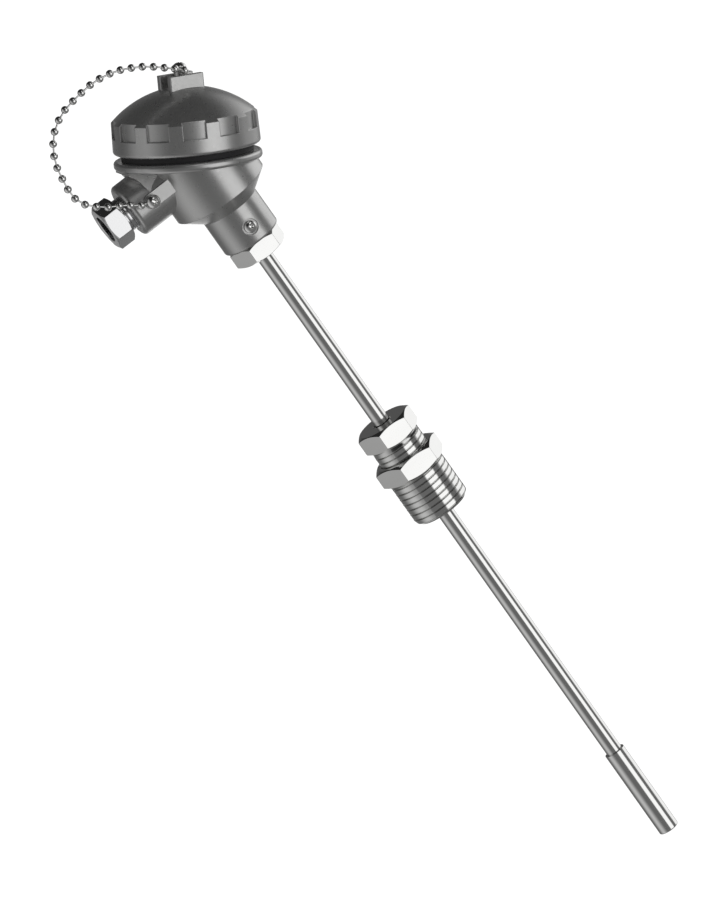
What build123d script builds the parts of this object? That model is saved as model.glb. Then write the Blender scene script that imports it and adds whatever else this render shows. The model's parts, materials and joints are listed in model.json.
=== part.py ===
from build123d import *
import math
import os

# Resistance thermometer: a thin probe in an adjustable compression fitting, with a
# slanted connection head and a captive screw cap. Millimetres. Z runs along the stem,
# with its zero at the shoulder of the process thread, and the cable leaves towards -X.

# Radial gap of pieces that turn or slide in each other, and of fixed joints
RUNNING = 0.05
SEAT = 0.02

# Stem: below the thread shoulder it is immersed, above it is the extension
IMMERSION = 156.5
EXTENSION = 93.5
SHEATH_D = 5.8
SHEATH_WALL = 0.6
SHEATH_PLAY = 0.2
SLEEVE_D = 7.4
SLEEVE_LENGTH = 34.0
SLEEVE_FLOOR = 2.0
TIP_CHAMFER = 0.5
ELEMENT_D = 4.0
ELEMENT_LENGTH = 15.0
ELEMENT_FOOT = 1.0
WIRE_D = 0.6
WIRE_CIRCLE_D = 2.4
WIRES = 4

# Compression fitting
PIPE_D = 21.1
PIPE_LENGTH = 16.8
PIPE_CHAMFER = 1.2
FITTING_HEX = 22.2
FITTING_HEX_HEIGHT = 7.2
BOLT_HEX = 19.05
BOLT_HEX_HEIGHT = 7.2
BOLT_THREAD_D = 18.4
BOLT_THREAD_SHOWING = 6.0
BOLT_ENGAGEMENT = 6.6
NOSE_D = 12.0
NOSE_LENGTH = 5.6
FOLLOWER_HEIGHT = 1.5
FOLLOWER_COLLAR_D = 8.8
FOLLOWER_COLLAR_HEIGHT = 3.0
FERRULE_BARREL = 1.6
FERRULE_TAPER = 3.6
FERRULE_TIP_WALL = 0.6
SHANK_CHAMFER = 0.8

# Neck nut that holds the probe in the head
NECK_HEX = 17.5
NECK_HEX_HEIGHT = 6.5
NIPPLE_D = 13.0
NIPPLE_LENGTH = 11.0

# Head housing: parts in line with the stem
NECK_D = 21.4
NECK_LENGTH = 14.0
NECK_ROUND = 1.0
CONE_HEIGHT = 5.5
BODY_D = 35.2
CHAMBER_D = 30.8
CHAMBER_FLOOR = 2.0
SHEATH_STAND = 1.5
NECK_SCREW_HEIGHT = 6.1
SPOT_FACE_D = 5.6
SPOT_FACE_DEPTH = 0.8

# Head housing: parts in line with the slanted cap
HEAD_TILT = 30.0
HEAD_HEIGHT = 139.6
FLANGE_D = 51.0
FLANGE_DROP = 3.0
FLANGE_THICKNESS = 2.9
FLANGE_ROUND = 1.1
WEB_D = 47.2
WEB_HEIGHT = 4.6
WEB_WIDTH = 15.0
SPIGOT_D = 41.2
SPIGOT_HEIGHT = 8.0
MOUTH_D = 35.2
MOUTH_DEPTH = 1.3

# Cable boss, with the raised pad that carries the chain
BOSS_D = 20.0
BOSS_REACH = 30.0
BOSS_BELOW_HEAD = 5.7
BOSS_ROUND = 1.5
PASSAGE_D = 9.0
PAD_WIDTH = 5.3
PAD_HEIGHT = 0.8
PAD_RISE = 0.7
PAD_SCREW_REACH = 22.7
PAD_SEAT_D = 4.4
PAD_SEAT_HEIGHT = 0.65

# Cap
GASKET_THICKNESS = 2.3
GASKET_D = 45.4
CAP_D = 50.8
CAP_TOP_D = 50.2
CAP_RIM_HEIGHT = 10.9
CAP_RIM_ROUND = 1.2
CAP_DOME_HEIGHT = 10.4
CAP_WALL = 3.5
CAP_THREAD_DEPTH = 7.2
CAP_SHOULDER = 0.6
CAP_TURN = 12.5
POCKETS = 12
POCKET_TURN = 9.0
POCKET_WIDTH = 8.2
POCKET_DEPTH = 1.0
POCKET_SILL = 5.7
LUG_LENGTH = 13.0
LUG_RIB = 2.4
LUG_SLOT = 5.0
LUG_HEIGHT = 25.5
LUG_ROUND = 0.4
CHAIN_SEAT_D = 4.0
CHAIN_SEAT_HEIGHT = 1.1

# Pan-head screws of each size, and the straight edge of a head as a share of its height
CHAIN_SCREW_HEAD_D = 4.8
CHAIN_SCREW_HEAD_HEIGHT = 2.2
CHAIN_SCREW_SHANK_D = 2.6
CHAIN_SCREW_REACH = 5.4
NECK_SCREW_HEAD_D = 4.4
NECK_SCREW_HEAD_HEIGHT = 1.8
NECK_SCREW_SHANK_D = 2.6
TERMINAL_SCREW_HEAD_D = 3.6
TERMINAL_SCREW_HEAD_HEIGHT = 1.4
TERMINAL_SCREW_SHANK_D = 1.8
BLOCK_SCREW_HEAD_D = 4.4
BLOCK_SCREW_HEAD_HEIGHT = 1.8
BLOCK_SCREW_SHANK_D = 2.5
BLOCK_SCREW_GRIP = 5.0
SCREW_EDGE = 0.4

# Bead chain and the two eyes that tie it to its screws
EYE_D = 4.4
EYE_THICKNESS = 0.8
BEAD_D = 2.5
BEAD_PITCH = 4.2
LINK_D = 0.7
LINK_GAP = 0.1
CAP_BEAD_REACH = 3.9
CAP_BEAD_TURN = -80.0
PAD_BEAD_REACH = 4.3
PAD_BEAD_TURN = 162.0
BEAD_CORNERS = (24, 66, 114, 156)
CHAIN_ROUTE = (
    (9.0, -6.0, 167.0),
    (0.0, -8.0, 174.4),
    (-11.4, -10.3, 179.4),
    (-22.9, -12.3, 180.4),
    (-33.9, -13.9, 177.7),
    (-41.2, -14.6, 170.8),
    (-44.8, -14.6, 160.0),
    (-44.2, -14.3, 151.2),
    (-38.5, -13.8, 144.4),
    (-31.6, -13.0, 139.8),
)

# Terminal block and its four clamps
BLOCK_D = 26.0
BLOCK_HEIGHT = 6.0
BLOCK_TOP = 1.0
BLOCK_ROUND = 0.8
BLOCK_HOLE_D = 7.2
BLOCK_FIXING_REACH = 10.0
BARRIER_THICKNESS = 1.0
BARRIER_HEIGHT = 3.0
BARRIER_LENGTH = 7.0
POST_D = 4.8
CLAMP_REACH = 8.6
CLAMP_WIDTH = 4.6
CLAMP_LENGTH = 5.4
CLAMP_HEIGHT = 4.2
CLAMP_ROUND = 0.5
CLAMP_HOLE_D = 1.8
CLAMP_HOLE_HEIGHT = 1.6
WIRE_HOLE_REACH = 1.6
WIRE_BEND = 1.6
WIRE_LEAN_START = 3.0
WIRE_END_IN_CLAMP = 1.2

# Cable gland
GLAND_THREAD_D = 12.6
GLAND_INSET = 5.5
GLAND_GAP = 2.9
GLAND_HEX = 15.5
GLAND_HEX_LENGTH = 6.7
GLAND_HEX_TURN = 8.0
GLAND_LIP = 2.0
GLAND_MOUTH_D = 10.0
GLAND_SHELL_D = 10.0
GLAND_SHOULDER = 2.0
GLAND_SHOULDER_D = 8.0
GLAND_WASHER_THICKNESS = 1.0
GLAND_WASHER_D = 8.4
GROMMET_BORE_D = 6.0


def crown_radius(reach, rise):
    """Radius of a round crown that falls by a rise at a distance from its axis."""
    return (reach**2 + rise**2) / (2 * rise)


TILT = math.radians(HEAD_TILT)

# Radii that several pieces share
SHEATH_R = SHEATH_D / 2
CORE_R = SHEATH_R - SHEATH_WALL - SEAT
FERRULE_TIP_R = SHEATH_R + RUNNING + FERRULE_TIP_WALL
CAP_BORE_R = SPIGOT_D / 2 + RUNNING
CAP_SHOULDER_R = SPIGOT_D / 2 - CAP_SHOULDER
DOME_R = crown_radius(CAP_TOP_D / 2, CAP_DOME_HEIGHT)

# Heights along the stem
FITTING_TOP = FITTING_HEX_HEIGHT
BOLT_HEX_BOTTOM = FITTING_TOP + BOLT_THREAD_SHOWING
BOLT_HEX_TOP = BOLT_HEX_BOTTOM + BOLT_HEX_HEIGHT
BOLT_THREAD_BOTTOM = FITTING_TOP - BOLT_ENGAGEMENT
NOSE_BOTTOM = BOLT_THREAD_BOTTOM - NOSE_LENGTH
FOLLOWER_TOP = NOSE_BOTTOM - SEAT
FOLLOWER_BOTTOM = FOLLOWER_TOP - FOLLOWER_HEIGHT
FERRULE_TOP = FOLLOWER_BOTTOM - SEAT
TAPER_TOP = FERRULE_TOP - FERRULE_BARREL
TAPER_BOTTOM = TAPER_TOP - FERRULE_TAPER
NECK_BOTTOM = EXTENSION + NECK_HEX_HEIGHT
NECK_TOP = NECK_BOTTOM + NECK_LENGTH
CONE_TOP = NECK_TOP + CONE_HEIGHT
FLOOR = CONE_TOP + CHAMBER_FLOOR
SHEATH_TOP = FLOOR + SHEATH_STAND
SLEEVE_TOP = SLEEVE_LENGTH - IMMERSION
SHEATH_BOTTOM = SLEEVE_FLOOR + SEAT - IMMERSION
ELEMENT_BOTTOM = SHEATH_BOTTOM + ELEMENT_FOOT
ELEMENT_TOP = ELEMENT_BOTTOM + ELEMENT_LENGTH
CORE_BOTTOM = ELEMENT_TOP + SEAT
BOSS_HEIGHT = HEAD_HEIGHT - BOSS_BELOW_HEAD
PAD_LEVEL = BOSS_HEIGHT + PAD_RISE

# Heights along the cap's axis, from the point where it crosses the stem's axis
FLANGE_TOP = -FLANGE_DROP
FLANGE_BOTTOM = FLANGE_TOP - FLANGE_THICKNESS
MOUTH_BOTTOM = FLANGE_TOP - MOUTH_DEPTH
SPIGOT_TOP = FLANGE_TOP + SPIGOT_HEIGHT
RIM_BOTTOM = FLANGE_TOP + GASKET_THICKNESS
RIM_TOP = RIM_BOTTOM + CAP_RIM_HEIGHT
DOME_TOP = RIM_TOP + CAP_DOME_HEIGHT
LUG_TOP = RIM_BOTTOM + LUG_HEIGHT
CHAIN_SEAT_TOP = LUG_TOP + CHAIN_SEAT_HEIGHT
BLOCK_BOTTOM = BLOCK_TOP - BLOCK_HEIGHT
POST_LENGTH = (HEAD_HEIGHT - FLOOR) / math.cos(TILT) + BLOCK_BOTTOM + POST_D * math.tan(TILT)
DOME_CENTRE = DOME_TOP - DOME_R

# Distances along the gland, outwards from the end of the boss
GLAND_BODY_END = GLAND_GAP + GLAND_HEX_LENGTH - GLAND_LIP - GLAND_WASHER_THICKNESS - 2 * SEAT


def spun(plane, angle):
    """A plane turned about its own normal."""
    return Plane(plane.location * Rotation(0, 0, angle))


# Planes: the head's plane leans with the cap, and the cap's is turned about that axis
CAP_AXIS = (math.sin(TILT), 0, math.cos(TILT))
HEAD = Plane(origin=(0, 0, HEAD_HEIGHT), x_dir=(math.cos(TILT), 0, -math.sin(TILT)), z_dir=CAP_AXIS)
CAP = spun(HEAD, CAP_TURN)
BOSS_END = Plane(origin=(-BOSS_REACH, 0, BOSS_HEIGHT), x_dir=(0, 1, 0), z_dir=(-1, 0, 0))
GLAND_HEX_PLANE = spun(BOSS_END.offset(GLAND_GAP), GLAND_HEX_TURN)
PAD_FACE = Plane(
    origin=(-PAD_SCREW_REACH, -BOSS_D / 2 - PAD_HEIGHT, PAD_LEVEL), x_dir=(1, 0, 0), z_dir=(0, -1, 0)
)
NECK_SCREW_SEAT = Plane(
    origin=(0, SPOT_FACE_DEPTH - NECK_D / 2, NECK_BOTTOM + NECK_SCREW_HEIGHT),
    x_dir=(1, 0, 0),
    z_dir=(0, -1, 0),
)


def through(plane):
    """The plane that holds the axis of another, with that axis as its own vertical."""
    return Plane(origin=plane.origin, x_dir=plane.x_dir, z_dir=-plane.y_dir)


def axis_of(plane):
    """The axis through a plane's origin and along its normal."""
    return Axis(plane.origin, plane.z_dir)


def moved(plane, x):
    """A plane moved along its own first direction."""
    return Plane(origin=plane.from_local_coords((x, 0, 0)), x_dir=plane.x_dir, z_dir=plane.z_dir)


def dome_height(radius, reach):
    """Height of one of the cap's two domes at a distance from the cap's axis."""
    return DOME_CENTRE + math.sqrt(radius**2 - reach**2)


def turned(plane, *outline, mode=Mode.ADD):
    """Turn an outline of (radius, height) points about a plane's axis."""
    with BuildSketch(through(plane)) as profile:
        with BuildLine():
            Polyline(*outline, close=True)
        make_face()
    revolve(profile.sketch, axis=axis_of(plane), mode=mode)


def chamfered_hex(plane, across_flats, height):
    """A hexagon whose corners are turned off at 30 degrees at both ends."""
    corner = across_flats / math.sqrt(3)
    face_r = 0.97 * across_flats / 2
    bevel = (corner - face_r) * math.tan(math.radians(30))
    with BuildSketch(plane) as hexagon:
        RegularPolygon(across_flats / 2, 6, major_radius=False)
    extrude(hexagon.sketch, amount=height)
    turned(
        plane,
        (0, 0),
        (face_r, 0),
        (corner, bevel),
        (corner, height - bevel),
        (face_r, height),
        (0, height),
        mode=Mode.INTERSECT,
    )


def pan_head_screw(seat, head_d, head_height, shank_d, reach):
    """A pan-head screw: the head stands on its seat plane and the shank runs below it."""
    edge_height = SCREW_EDGE * head_height
    crown = crown_radius(head_d / 2, head_height - edge_height)
    middle = head_height - crown + math.sqrt(crown**2 - (head_d / 4) ** 2)
    with BuildSketch(through(seat)) as profile:
        with BuildLine():
            Polyline(
                (0, head_height),
                (0, -reach),
                (shank_d / 2, -reach),
                (shank_d / 2, 0),
                (head_d / 2, 0),
                (head_d / 2, edge_height),
            )
            ThreePointArc((head_d / 2, edge_height), (head_d / 4, middle), (0, head_height))
        make_face()
    revolve(profile.sketch, axis=axis_of(seat))


def finish(piece, name):
    """Name a finished piece and write it out."""
    piece.part.label = name
    export_step(piece.part, f"parts/{name}.step")


os.makedirs("parts", exist_ok=True)

# Process fitting: pipe thread, hexagon, threaded socket and tapered ferrule seat
with BuildPart() as fitting_body:
    chamfered_hex(Plane.XY, FITTING_HEX, FITTING_HEX_HEIGHT)
    turned(
        Plane.XY,
        (0, 1),
        (PIPE_D / 2, 1),
        (PIPE_D / 2, PIPE_CHAMFER - PIPE_LENGTH),
        (PIPE_D / 2 - PIPE_CHAMFER, -PIPE_LENGTH),
        (0, -PIPE_LENGTH),
    )
    turned(
        Plane.XY,
        (0, FITTING_TOP),
        (BOLT_THREAD_D / 2 + RUNNING, FITTING_TOP),
        (BOLT_THREAD_D / 2 + RUNNING, BOLT_THREAD_BOTTOM - SEAT),
        (NOSE_D / 2 + RUNNING, BOLT_THREAD_BOTTOM - SEAT),
        (NOSE_D / 2 + RUNNING, TAPER_TOP),
        (FERRULE_TIP_R + RUNNING, TAPER_BOTTOM),
        (SHEATH_R + SHEATH_PLAY, TAPER_BOTTOM),
        (SHEATH_R + SHEATH_PLAY, -PIPE_LENGTH),
        (0, -PIPE_LENGTH),
        mode=Mode.SUBTRACT,
    )
finish(fitting_body, "fitting_body")

# Hollow bolt that squeezes the ferrule: hexagon, threaded shank and plain nose
with BuildPart() as compression_nut:
    chamfered_hex(Plane.XY.offset(BOLT_HEX_BOTTOM), BOLT_HEX, BOLT_HEX_HEIGHT)
    turned(
        Plane.XY,
        (0, BOLT_HEX_BOTTOM + 1),
        (BOLT_THREAD_D / 2, BOLT_HEX_BOTTOM + 1),
        (BOLT_THREAD_D / 2, BOLT_THREAD_BOTTOM + SHANK_CHAMFER),
        (BOLT_THREAD_D / 2 - SHANK_CHAMFER, BOLT_THREAD_BOTTOM),
        (NOSE_D / 2, BOLT_THREAD_BOTTOM),
        (NOSE_D / 2, NOSE_BOTTOM),
        (0, NOSE_BOTTOM),
    )
    turned(
        Plane.XY,
        (0, BOLT_HEX_TOP),
        (SHEATH_R + SHEATH_PLAY, BOLT_HEX_TOP),
        (SHEATH_R + SHEATH_PLAY, NOSE_BOTTOM + FOLLOWER_COLLAR_HEIGHT + SEAT),
        (FOLLOWER_COLLAR_D / 2 + RUNNING, NOSE_BOTTOM + FOLLOWER_COLLAR_HEIGHT + SEAT),
        (FOLLOWER_COLLAR_D / 2 + RUNNING, NOSE_BOTTOM),
        (0, NOSE_BOTTOM),
        mode=Mode.SUBTRACT,
    )
finish(compression_nut, "compression_nut")

# Collared ring between the turning bolt and the ferrule
with BuildPart() as follower_ring:
    turned(
        Plane.XY,
        (SHEATH_R + SHEATH_PLAY, FOLLOWER_BOTTOM),
        (NOSE_D / 2, FOLLOWER_BOTTOM),
        (NOSE_D / 2, FOLLOWER_TOP),
        (FOLLOWER_COLLAR_D / 2, FOLLOWER_TOP),
        (FOLLOWER_COLLAR_D / 2, FOLLOWER_TOP + FOLLOWER_COLLAR_HEIGHT),
        (SHEATH_R + SHEATH_PLAY, FOLLOWER_TOP + FOLLOWER_COLLAR_HEIGHT),
    )
finish(follower_ring, "follower_ring")

# Tapered ferrule that grips the sheath
with BuildPart() as ferrule:
    turned(
        Plane.XY,
        (SHEATH_R + RUNNING, FERRULE_TOP),
        (NOSE_D / 2, FERRULE_TOP),
        (NOSE_D / 2, TAPER_TOP + RUNNING),
        (FERRULE_TIP_R, TAPER_BOTTOM + RUNNING),
        (SHEATH_R + RUNNING, TAPER_BOTTOM + RUNNING),
    )
finish(ferrule, "ferrule")

# Sheath tube, from inside the tip sleeve up into the head
with BuildPart() as sheath:
    with BuildSketch(Plane.XY.offset(SHEATH_BOTTOM)):
        Circle(SHEATH_R)
        Circle(SHEATH_R - SHEATH_WALL, mode=Mode.SUBTRACT)
    extrude(amount=SHEATH_TOP - SHEATH_BOTTOM)
finish(sheath, "sheath")

# Thicker closed sleeve over the tip
with BuildPart() as tip_sleeve:
    turned(
        Plane.XY,
        (0, -IMMERSION),
        (SLEEVE_D / 2 - TIP_CHAMFER, -IMMERSION),
        (SLEEVE_D / 2, TIP_CHAMFER - IMMERSION),
        (SLEEVE_D / 2, SLEEVE_TOP),
        (SHEATH_R + SEAT, SLEEVE_TOP),
        (SHEATH_R + SEAT, SLEEVE_FLOOR - IMMERSION),
        (0, SLEEVE_FLOOR - IMMERSION),
    )
finish(tip_sleeve, "tip_sleeve")

# Wound sensing element at the tip
with BuildPart() as sensing_element:
    with BuildSketch(Plane.XY.offset(ELEMENT_BOTTOM)):
        Circle(ELEMENT_D / 2)
    extrude(amount=ELEMENT_LENGTH)
finish(sensing_element, "sensing_element")

# Mineral insulation with a hole for each conductor
with BuildPart() as insulation_core:
    with BuildSketch(Plane.XY.offset(CORE_BOTTOM)):
        Circle(CORE_R)
        with PolarLocations(WIRE_CIRCLE_D / 2, WIRES, start_angle=45):
            Circle(WIRE_D / 2 + SEAT, mode=Mode.SUBTRACT)
    extrude(amount=SHEATH_TOP - CORE_BOTTOM)
finish(insulation_core, "insulation_core")

# Neck nut, with the nipple that screws into the head
with BuildPart() as neck_nut:
    chamfered_hex(Plane.XY.offset(EXTENSION), NECK_HEX, NECK_HEX_HEIGHT)
    with BuildSketch(Plane.XY.offset(NECK_BOTTOM - 1)):
        Circle(NIPPLE_D / 2)
    extrude(amount=NIPPLE_LENGTH + 1)
    with BuildSketch(Plane.XY.offset(EXTENSION)):
        Circle(SHEATH_R + SEAT)
    extrude(amount=NECK_HEX_HEIGHT + NIPPLE_LENGTH, mode=Mode.SUBTRACT)
finish(neck_nut, "neck_nut")

# Room for the terminals: a round chamber along the stem, cut off under the slanted mouth
with BuildPart() as chamber:
    with BuildSketch(Plane.XY.offset(FLOOR)):
        Circle(CHAMBER_D / 2)
    extrude(amount=HEAD_HEIGHT)
    split(bisect_by=HEAD.offset(MOUTH_BOTTOM), keep=Keep.BOTTOM)

# Web that joins the flange to the cable boss below it
with BuildPart() as flange_web:
    with BuildSketch(through(HEAD)):
        with BuildLine():
            top = Line((0, FLANGE_BOTTOM), (WEB_D / 2, FLANGE_BOTTOM))
            side = Line(top @ 1, (WEB_D / 2, FLANGE_BOTTOM - 1))
            hollow = RadiusArc(side @ 1, (WEB_D / 2 - WEB_HEIGHT, FLANGE_BOTTOM - WEB_HEIGHT), 2 * WEB_HEIGHT)
            Polyline(hollow @ 1, (0, FLANGE_BOTTOM - WEB_HEIGHT), (0, FLANGE_BOTTOM))
        make_face()
    revolve(axis=axis_of(HEAD))
    with BuildSketch(HEAD):
        with Locations((-FLANGE_D / 4 - NECK_D / 4, 0)):
            Rectangle(FLANGE_D / 2 - NECK_D / 2, WEB_WIDTH)
    extrude(amount=2 * FLANGE_BOTTOM, mode=Mode.INTERSECT)

# Cast head housing
with BuildPart() as housing:
    turned(
        Plane.XY,
        (0, NECK_BOTTOM),
        (NECK_D / 2, NECK_BOTTOM),
        (NECK_D / 2, NECK_TOP),
        (BODY_D / 2, CONE_TOP),
        (BODY_D / 2, HEAD_HEIGHT + BODY_D),
        (0, HEAD_HEIGHT + BODY_D),
    )
    fillet(housing.edges().filter_by(GeomType.CIRCLE).sort_by(Axis.Z)[0], radius=NECK_ROUND)
    split(bisect_by=HEAD.offset(FLANGE_BOTTOM), keep=Keep.BOTTOM)
    with BuildSketch(BOSS_END):
        Circle(BOSS_D / 2)
    extrude(amount=-BOSS_REACH + NECK_D / 2)
    fillet(
        housing.edges().filter_by(GeomType.CIRCLE).sort_by(Axis.X)[0],
        radius=BOSS_ROUND,
    )
    with BuildSketch(PAD_FACE):
        Circle(PAD_WIDTH / 2)
        with Locations((NECK_D / 4, 0)):
            Rectangle(NECK_D / 2, PAD_WIDTH)
    extrude(amount=-BOSS_D / 4)
    with BuildSketch(PAD_FACE):
        Circle(PAD_SEAT_D / 2)
    extrude(amount=PAD_SEAT_HEIGHT)
    add(flange_web.part)
    with BuildSketch(HEAD.offset(FLANGE_BOTTOM)):
        Circle(FLANGE_D / 2)
    extrude(amount=FLANGE_THICKNESS)
    flange_rim = housing.edges().filter_by(GeomType.CIRCLE).filter_by(
        lambda edge: abs(edge.radius - FLANGE_D / 2) < SEAT
    )
    fillet(flange_rim, radius=FLANGE_ROUND)
    with BuildSketch(HEAD.offset(FLANGE_TOP)):
        Circle(SPIGOT_D / 2)
    extrude(amount=SPIGOT_HEIGHT)
    add(chamber.part, mode=Mode.SUBTRACT)
    with BuildSketch(HEAD.offset(MOUTH_BOTTOM)):
        Circle(MOUTH_D / 2)
    extrude(amount=SPIGOT_TOP - MOUTH_BOTTOM, mode=Mode.SUBTRACT)
    with BuildSketch(BOSS_END):
        Circle(GLAND_THREAD_D / 2 + SEAT)
    extrude(amount=-GLAND_INSET - SEAT, mode=Mode.SUBTRACT)
    with BuildSketch(BOSS_END):
        Circle(PASSAGE_D / 2)
    extrude(amount=-BOSS_REACH + CHAMBER_D / 4, mode=Mode.SUBTRACT)
    with BuildSketch(Plane.XY.offset(NECK_BOTTOM)):
        Circle(NIPPLE_D / 2 + SEAT)
    extrude(amount=NIPPLE_LENGTH + SEAT, mode=Mode.SUBTRACT)
    with BuildSketch(Plane.XY.offset(NECK_BOTTOM)):
        Circle(SHEATH_R + SHEATH_PLAY)
    extrude(amount=FLOOR - NECK_BOTTOM, mode=Mode.SUBTRACT)
    with BuildSketch(NECK_SCREW_SEAT):
        Circle(SPOT_FACE_D / 2)
    extrude(amount=2 * SPOT_FACE_DEPTH, mode=Mode.SUBTRACT)
    with BuildSketch(NECK_SCREW_SEAT):
        Circle(NECK_SCREW_SHANK_D / 2 + SEAT)
    extrude(amount=NIPPLE_D / 2 - NECK_D / 2, mode=Mode.SUBTRACT)
    with BuildSketch(PAD_FACE.offset(PAD_SEAT_HEIGHT)):
        Circle(CHAIN_SCREW_SHANK_D / 2 + SEAT)
    extrude(amount=-CHAIN_SCREW_REACH, mode=Mode.SUBTRACT)
    with BuildSketch(HEAD.offset(BLOCK_BOTTOM)):
        with PolarLocations(BLOCK_FIXING_REACH, 2, start_angle=90):
            Circle(POST_D / 2)
    extrude(amount=-POST_LENGTH)
    with BuildSketch(HEAD.offset(BLOCK_BOTTOM)):
        with PolarLocations(BLOCK_FIXING_REACH, 2, start_angle=90):
            Circle(BLOCK_SCREW_SHANK_D / 2 + SEAT)
    extrude(amount=-BLOCK_SCREW_GRIP, mode=Mode.SUBTRACT)
finish(housing, "housing")

# Set screw that locks the nipple in the neck
with BuildPart() as neck_screw:
    pan_head_screw(
        NECK_SCREW_SEAT.offset(SEAT),
        NECK_SCREW_HEAD_D,
        NECK_SCREW_HEAD_HEIGHT,
        NECK_SCREW_SHANK_D,
        (NECK_D - NIPPLE_D) / 2 - SPOT_FACE_DEPTH,
    )
finish(neck_screw, "neck_screw")

# Ceramic terminal block, with a hole for the conductors and a barrier on each side of it
with BuildPart() as terminal_block:
    with BuildSketch(HEAD.offset(BLOCK_BOTTOM)):
        Circle(BLOCK_D / 2)
    extrude(amount=BLOCK_HEIGHT)
    chamfer(terminal_block.edges().filter_by(GeomType.CIRCLE), length=BLOCK_ROUND)
    with BuildSketch(HEAD.offset(BLOCK_TOP)):
        with PolarLocations(BLOCK_D / 2 - BLOCK_ROUND - BARRIER_LENGTH / 2, 2):
            Rectangle(BARRIER_LENGTH, BARRIER_THICKNESS)
    extrude(amount=BARRIER_HEIGHT)
    with BuildSketch(HEAD.offset(BLOCK_BOTTOM)):
        Circle(BLOCK_HOLE_D / 2)
        with PolarLocations(BLOCK_FIXING_REACH, 2, start_angle=90):
            Circle(BLOCK_SCREW_SHANK_D / 2 + SEAT)
    extrude(amount=BLOCK_HEIGHT, mode=Mode.SUBTRACT)
finish(terminal_block, "terminal_block")

# Screws that hold the block on its two posts
for side in range(2):
    seat = spun(HEAD, 90 + 180 * side).offset(BLOCK_TOP + SEAT)
    with BuildPart() as block_screw:
        pan_head_screw(
            moved(seat, BLOCK_FIXING_REACH),
            BLOCK_SCREW_HEAD_D,
            BLOCK_SCREW_HEAD_HEIGHT,
            BLOCK_SCREW_SHANK_D,
            BLOCK_HEIGHT + BLOCK_SCREW_GRIP,
        )
    finish(block_screw, f"block_screw_{side + 1}")

# Four terminals: a brass clamp, its screw and the conductor that comes up from the tip
for terminal in range(WIRES):
    bearing = (terminal + 0.5) * 360 / WIRES
    spoke = spun(HEAD, bearing)
    clamp_seat = moved(spoke.offset(BLOCK_TOP), CLAMP_REACH)
    wire_height = BLOCK_TOP + CLAMP_HOLE_HEIGHT

    with BuildPart() as terminal_clamp:
        with BuildSketch(clamp_seat):
            RectangleRounded(CLAMP_LENGTH, CLAMP_WIDTH, CLAMP_ROUND)
        extrude(amount=CLAMP_HEIGHT)
        with BuildSketch(clamp_seat.offset(CLAMP_HOLE_HEIGHT)):
            Circle(TERMINAL_SCREW_SHANK_D / 2 + SEAT)
        extrude(amount=CLAMP_HEIGHT, mode=Mode.SUBTRACT)
        wire_hole = Plane(
            origin=spoke.from_local_coords((CLAMP_REACH, 0, wire_height)),
            x_dir=spoke.y_dir,
            z_dir=spoke.x_dir,
        )
        with BuildSketch(wire_hole):
            Circle(CLAMP_HOLE_D / 2)
        extrude(amount=CLAMP_LENGTH, both=True, mode=Mode.SUBTRACT)
    finish(terminal_clamp, f"terminal_clamp_{terminal + 1}")

    with BuildPart() as terminal_screw:
        pan_head_screw(
            clamp_seat.offset(CLAMP_HEIGHT + SEAT),
            TERMINAL_SCREW_HEAD_D,
            TERMINAL_SCREW_HEAD_HEIGHT,
            TERMINAL_SCREW_SHANK_D,
            CLAMP_HEIGHT - CLAMP_HOLE_HEIGHT,
        )
    finish(terminal_screw, f"terminal_screw_{terminal + 1}")

    start = Vector(WIRE_CIRCLE_D / 2, 0, ELEMENT_TOP + SEAT).rotate(Axis.Z, bearing)
    lean = Vector(WIRE_CIRCLE_D / 2, 0, SHEATH_TOP + WIRE_LEAN_START).rotate(Axis.Z, bearing)
    with BuildPart() as lead_wire:
        with BuildLine() as wire_route:
            FilletPolyline(
                start,
                lean,
                spoke.from_local_coords((WIRE_HOLE_REACH, 0, BLOCK_BOTTOM - 1)),
                spoke.from_local_coords((WIRE_HOLE_REACH, 0, wire_height)),
                spoke.from_local_coords((CLAMP_REACH - CLAMP_LENGTH / 2 + WIRE_END_IN_CLAMP, 0, wire_height)),
                radius=WIRE_BEND,
            )
        with BuildSketch(Plane.XY.offset(ELEMENT_TOP + SEAT)):
            with PolarLocations(WIRE_CIRCLE_D / 2, 1, start_angle=bearing):
                Circle(WIRE_D / 2)
        sweep(path=wire_route.wire())
    finish(lead_wire, f"lead_wire_{terminal + 1}")

# Flat rubber gasket round the spigot
with BuildPart() as cap_gasket:
    with BuildSketch(HEAD.offset(FLANGE_TOP)):
        Circle(GASKET_D / 2)
        Circle(SPIGOT_D / 2 + 2 * RUNNING, mode=Mode.SUBTRACT)
    extrude(amount=GASKET_THICKNESS)
finish(cap_gasket, "cap_gasket")

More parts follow.
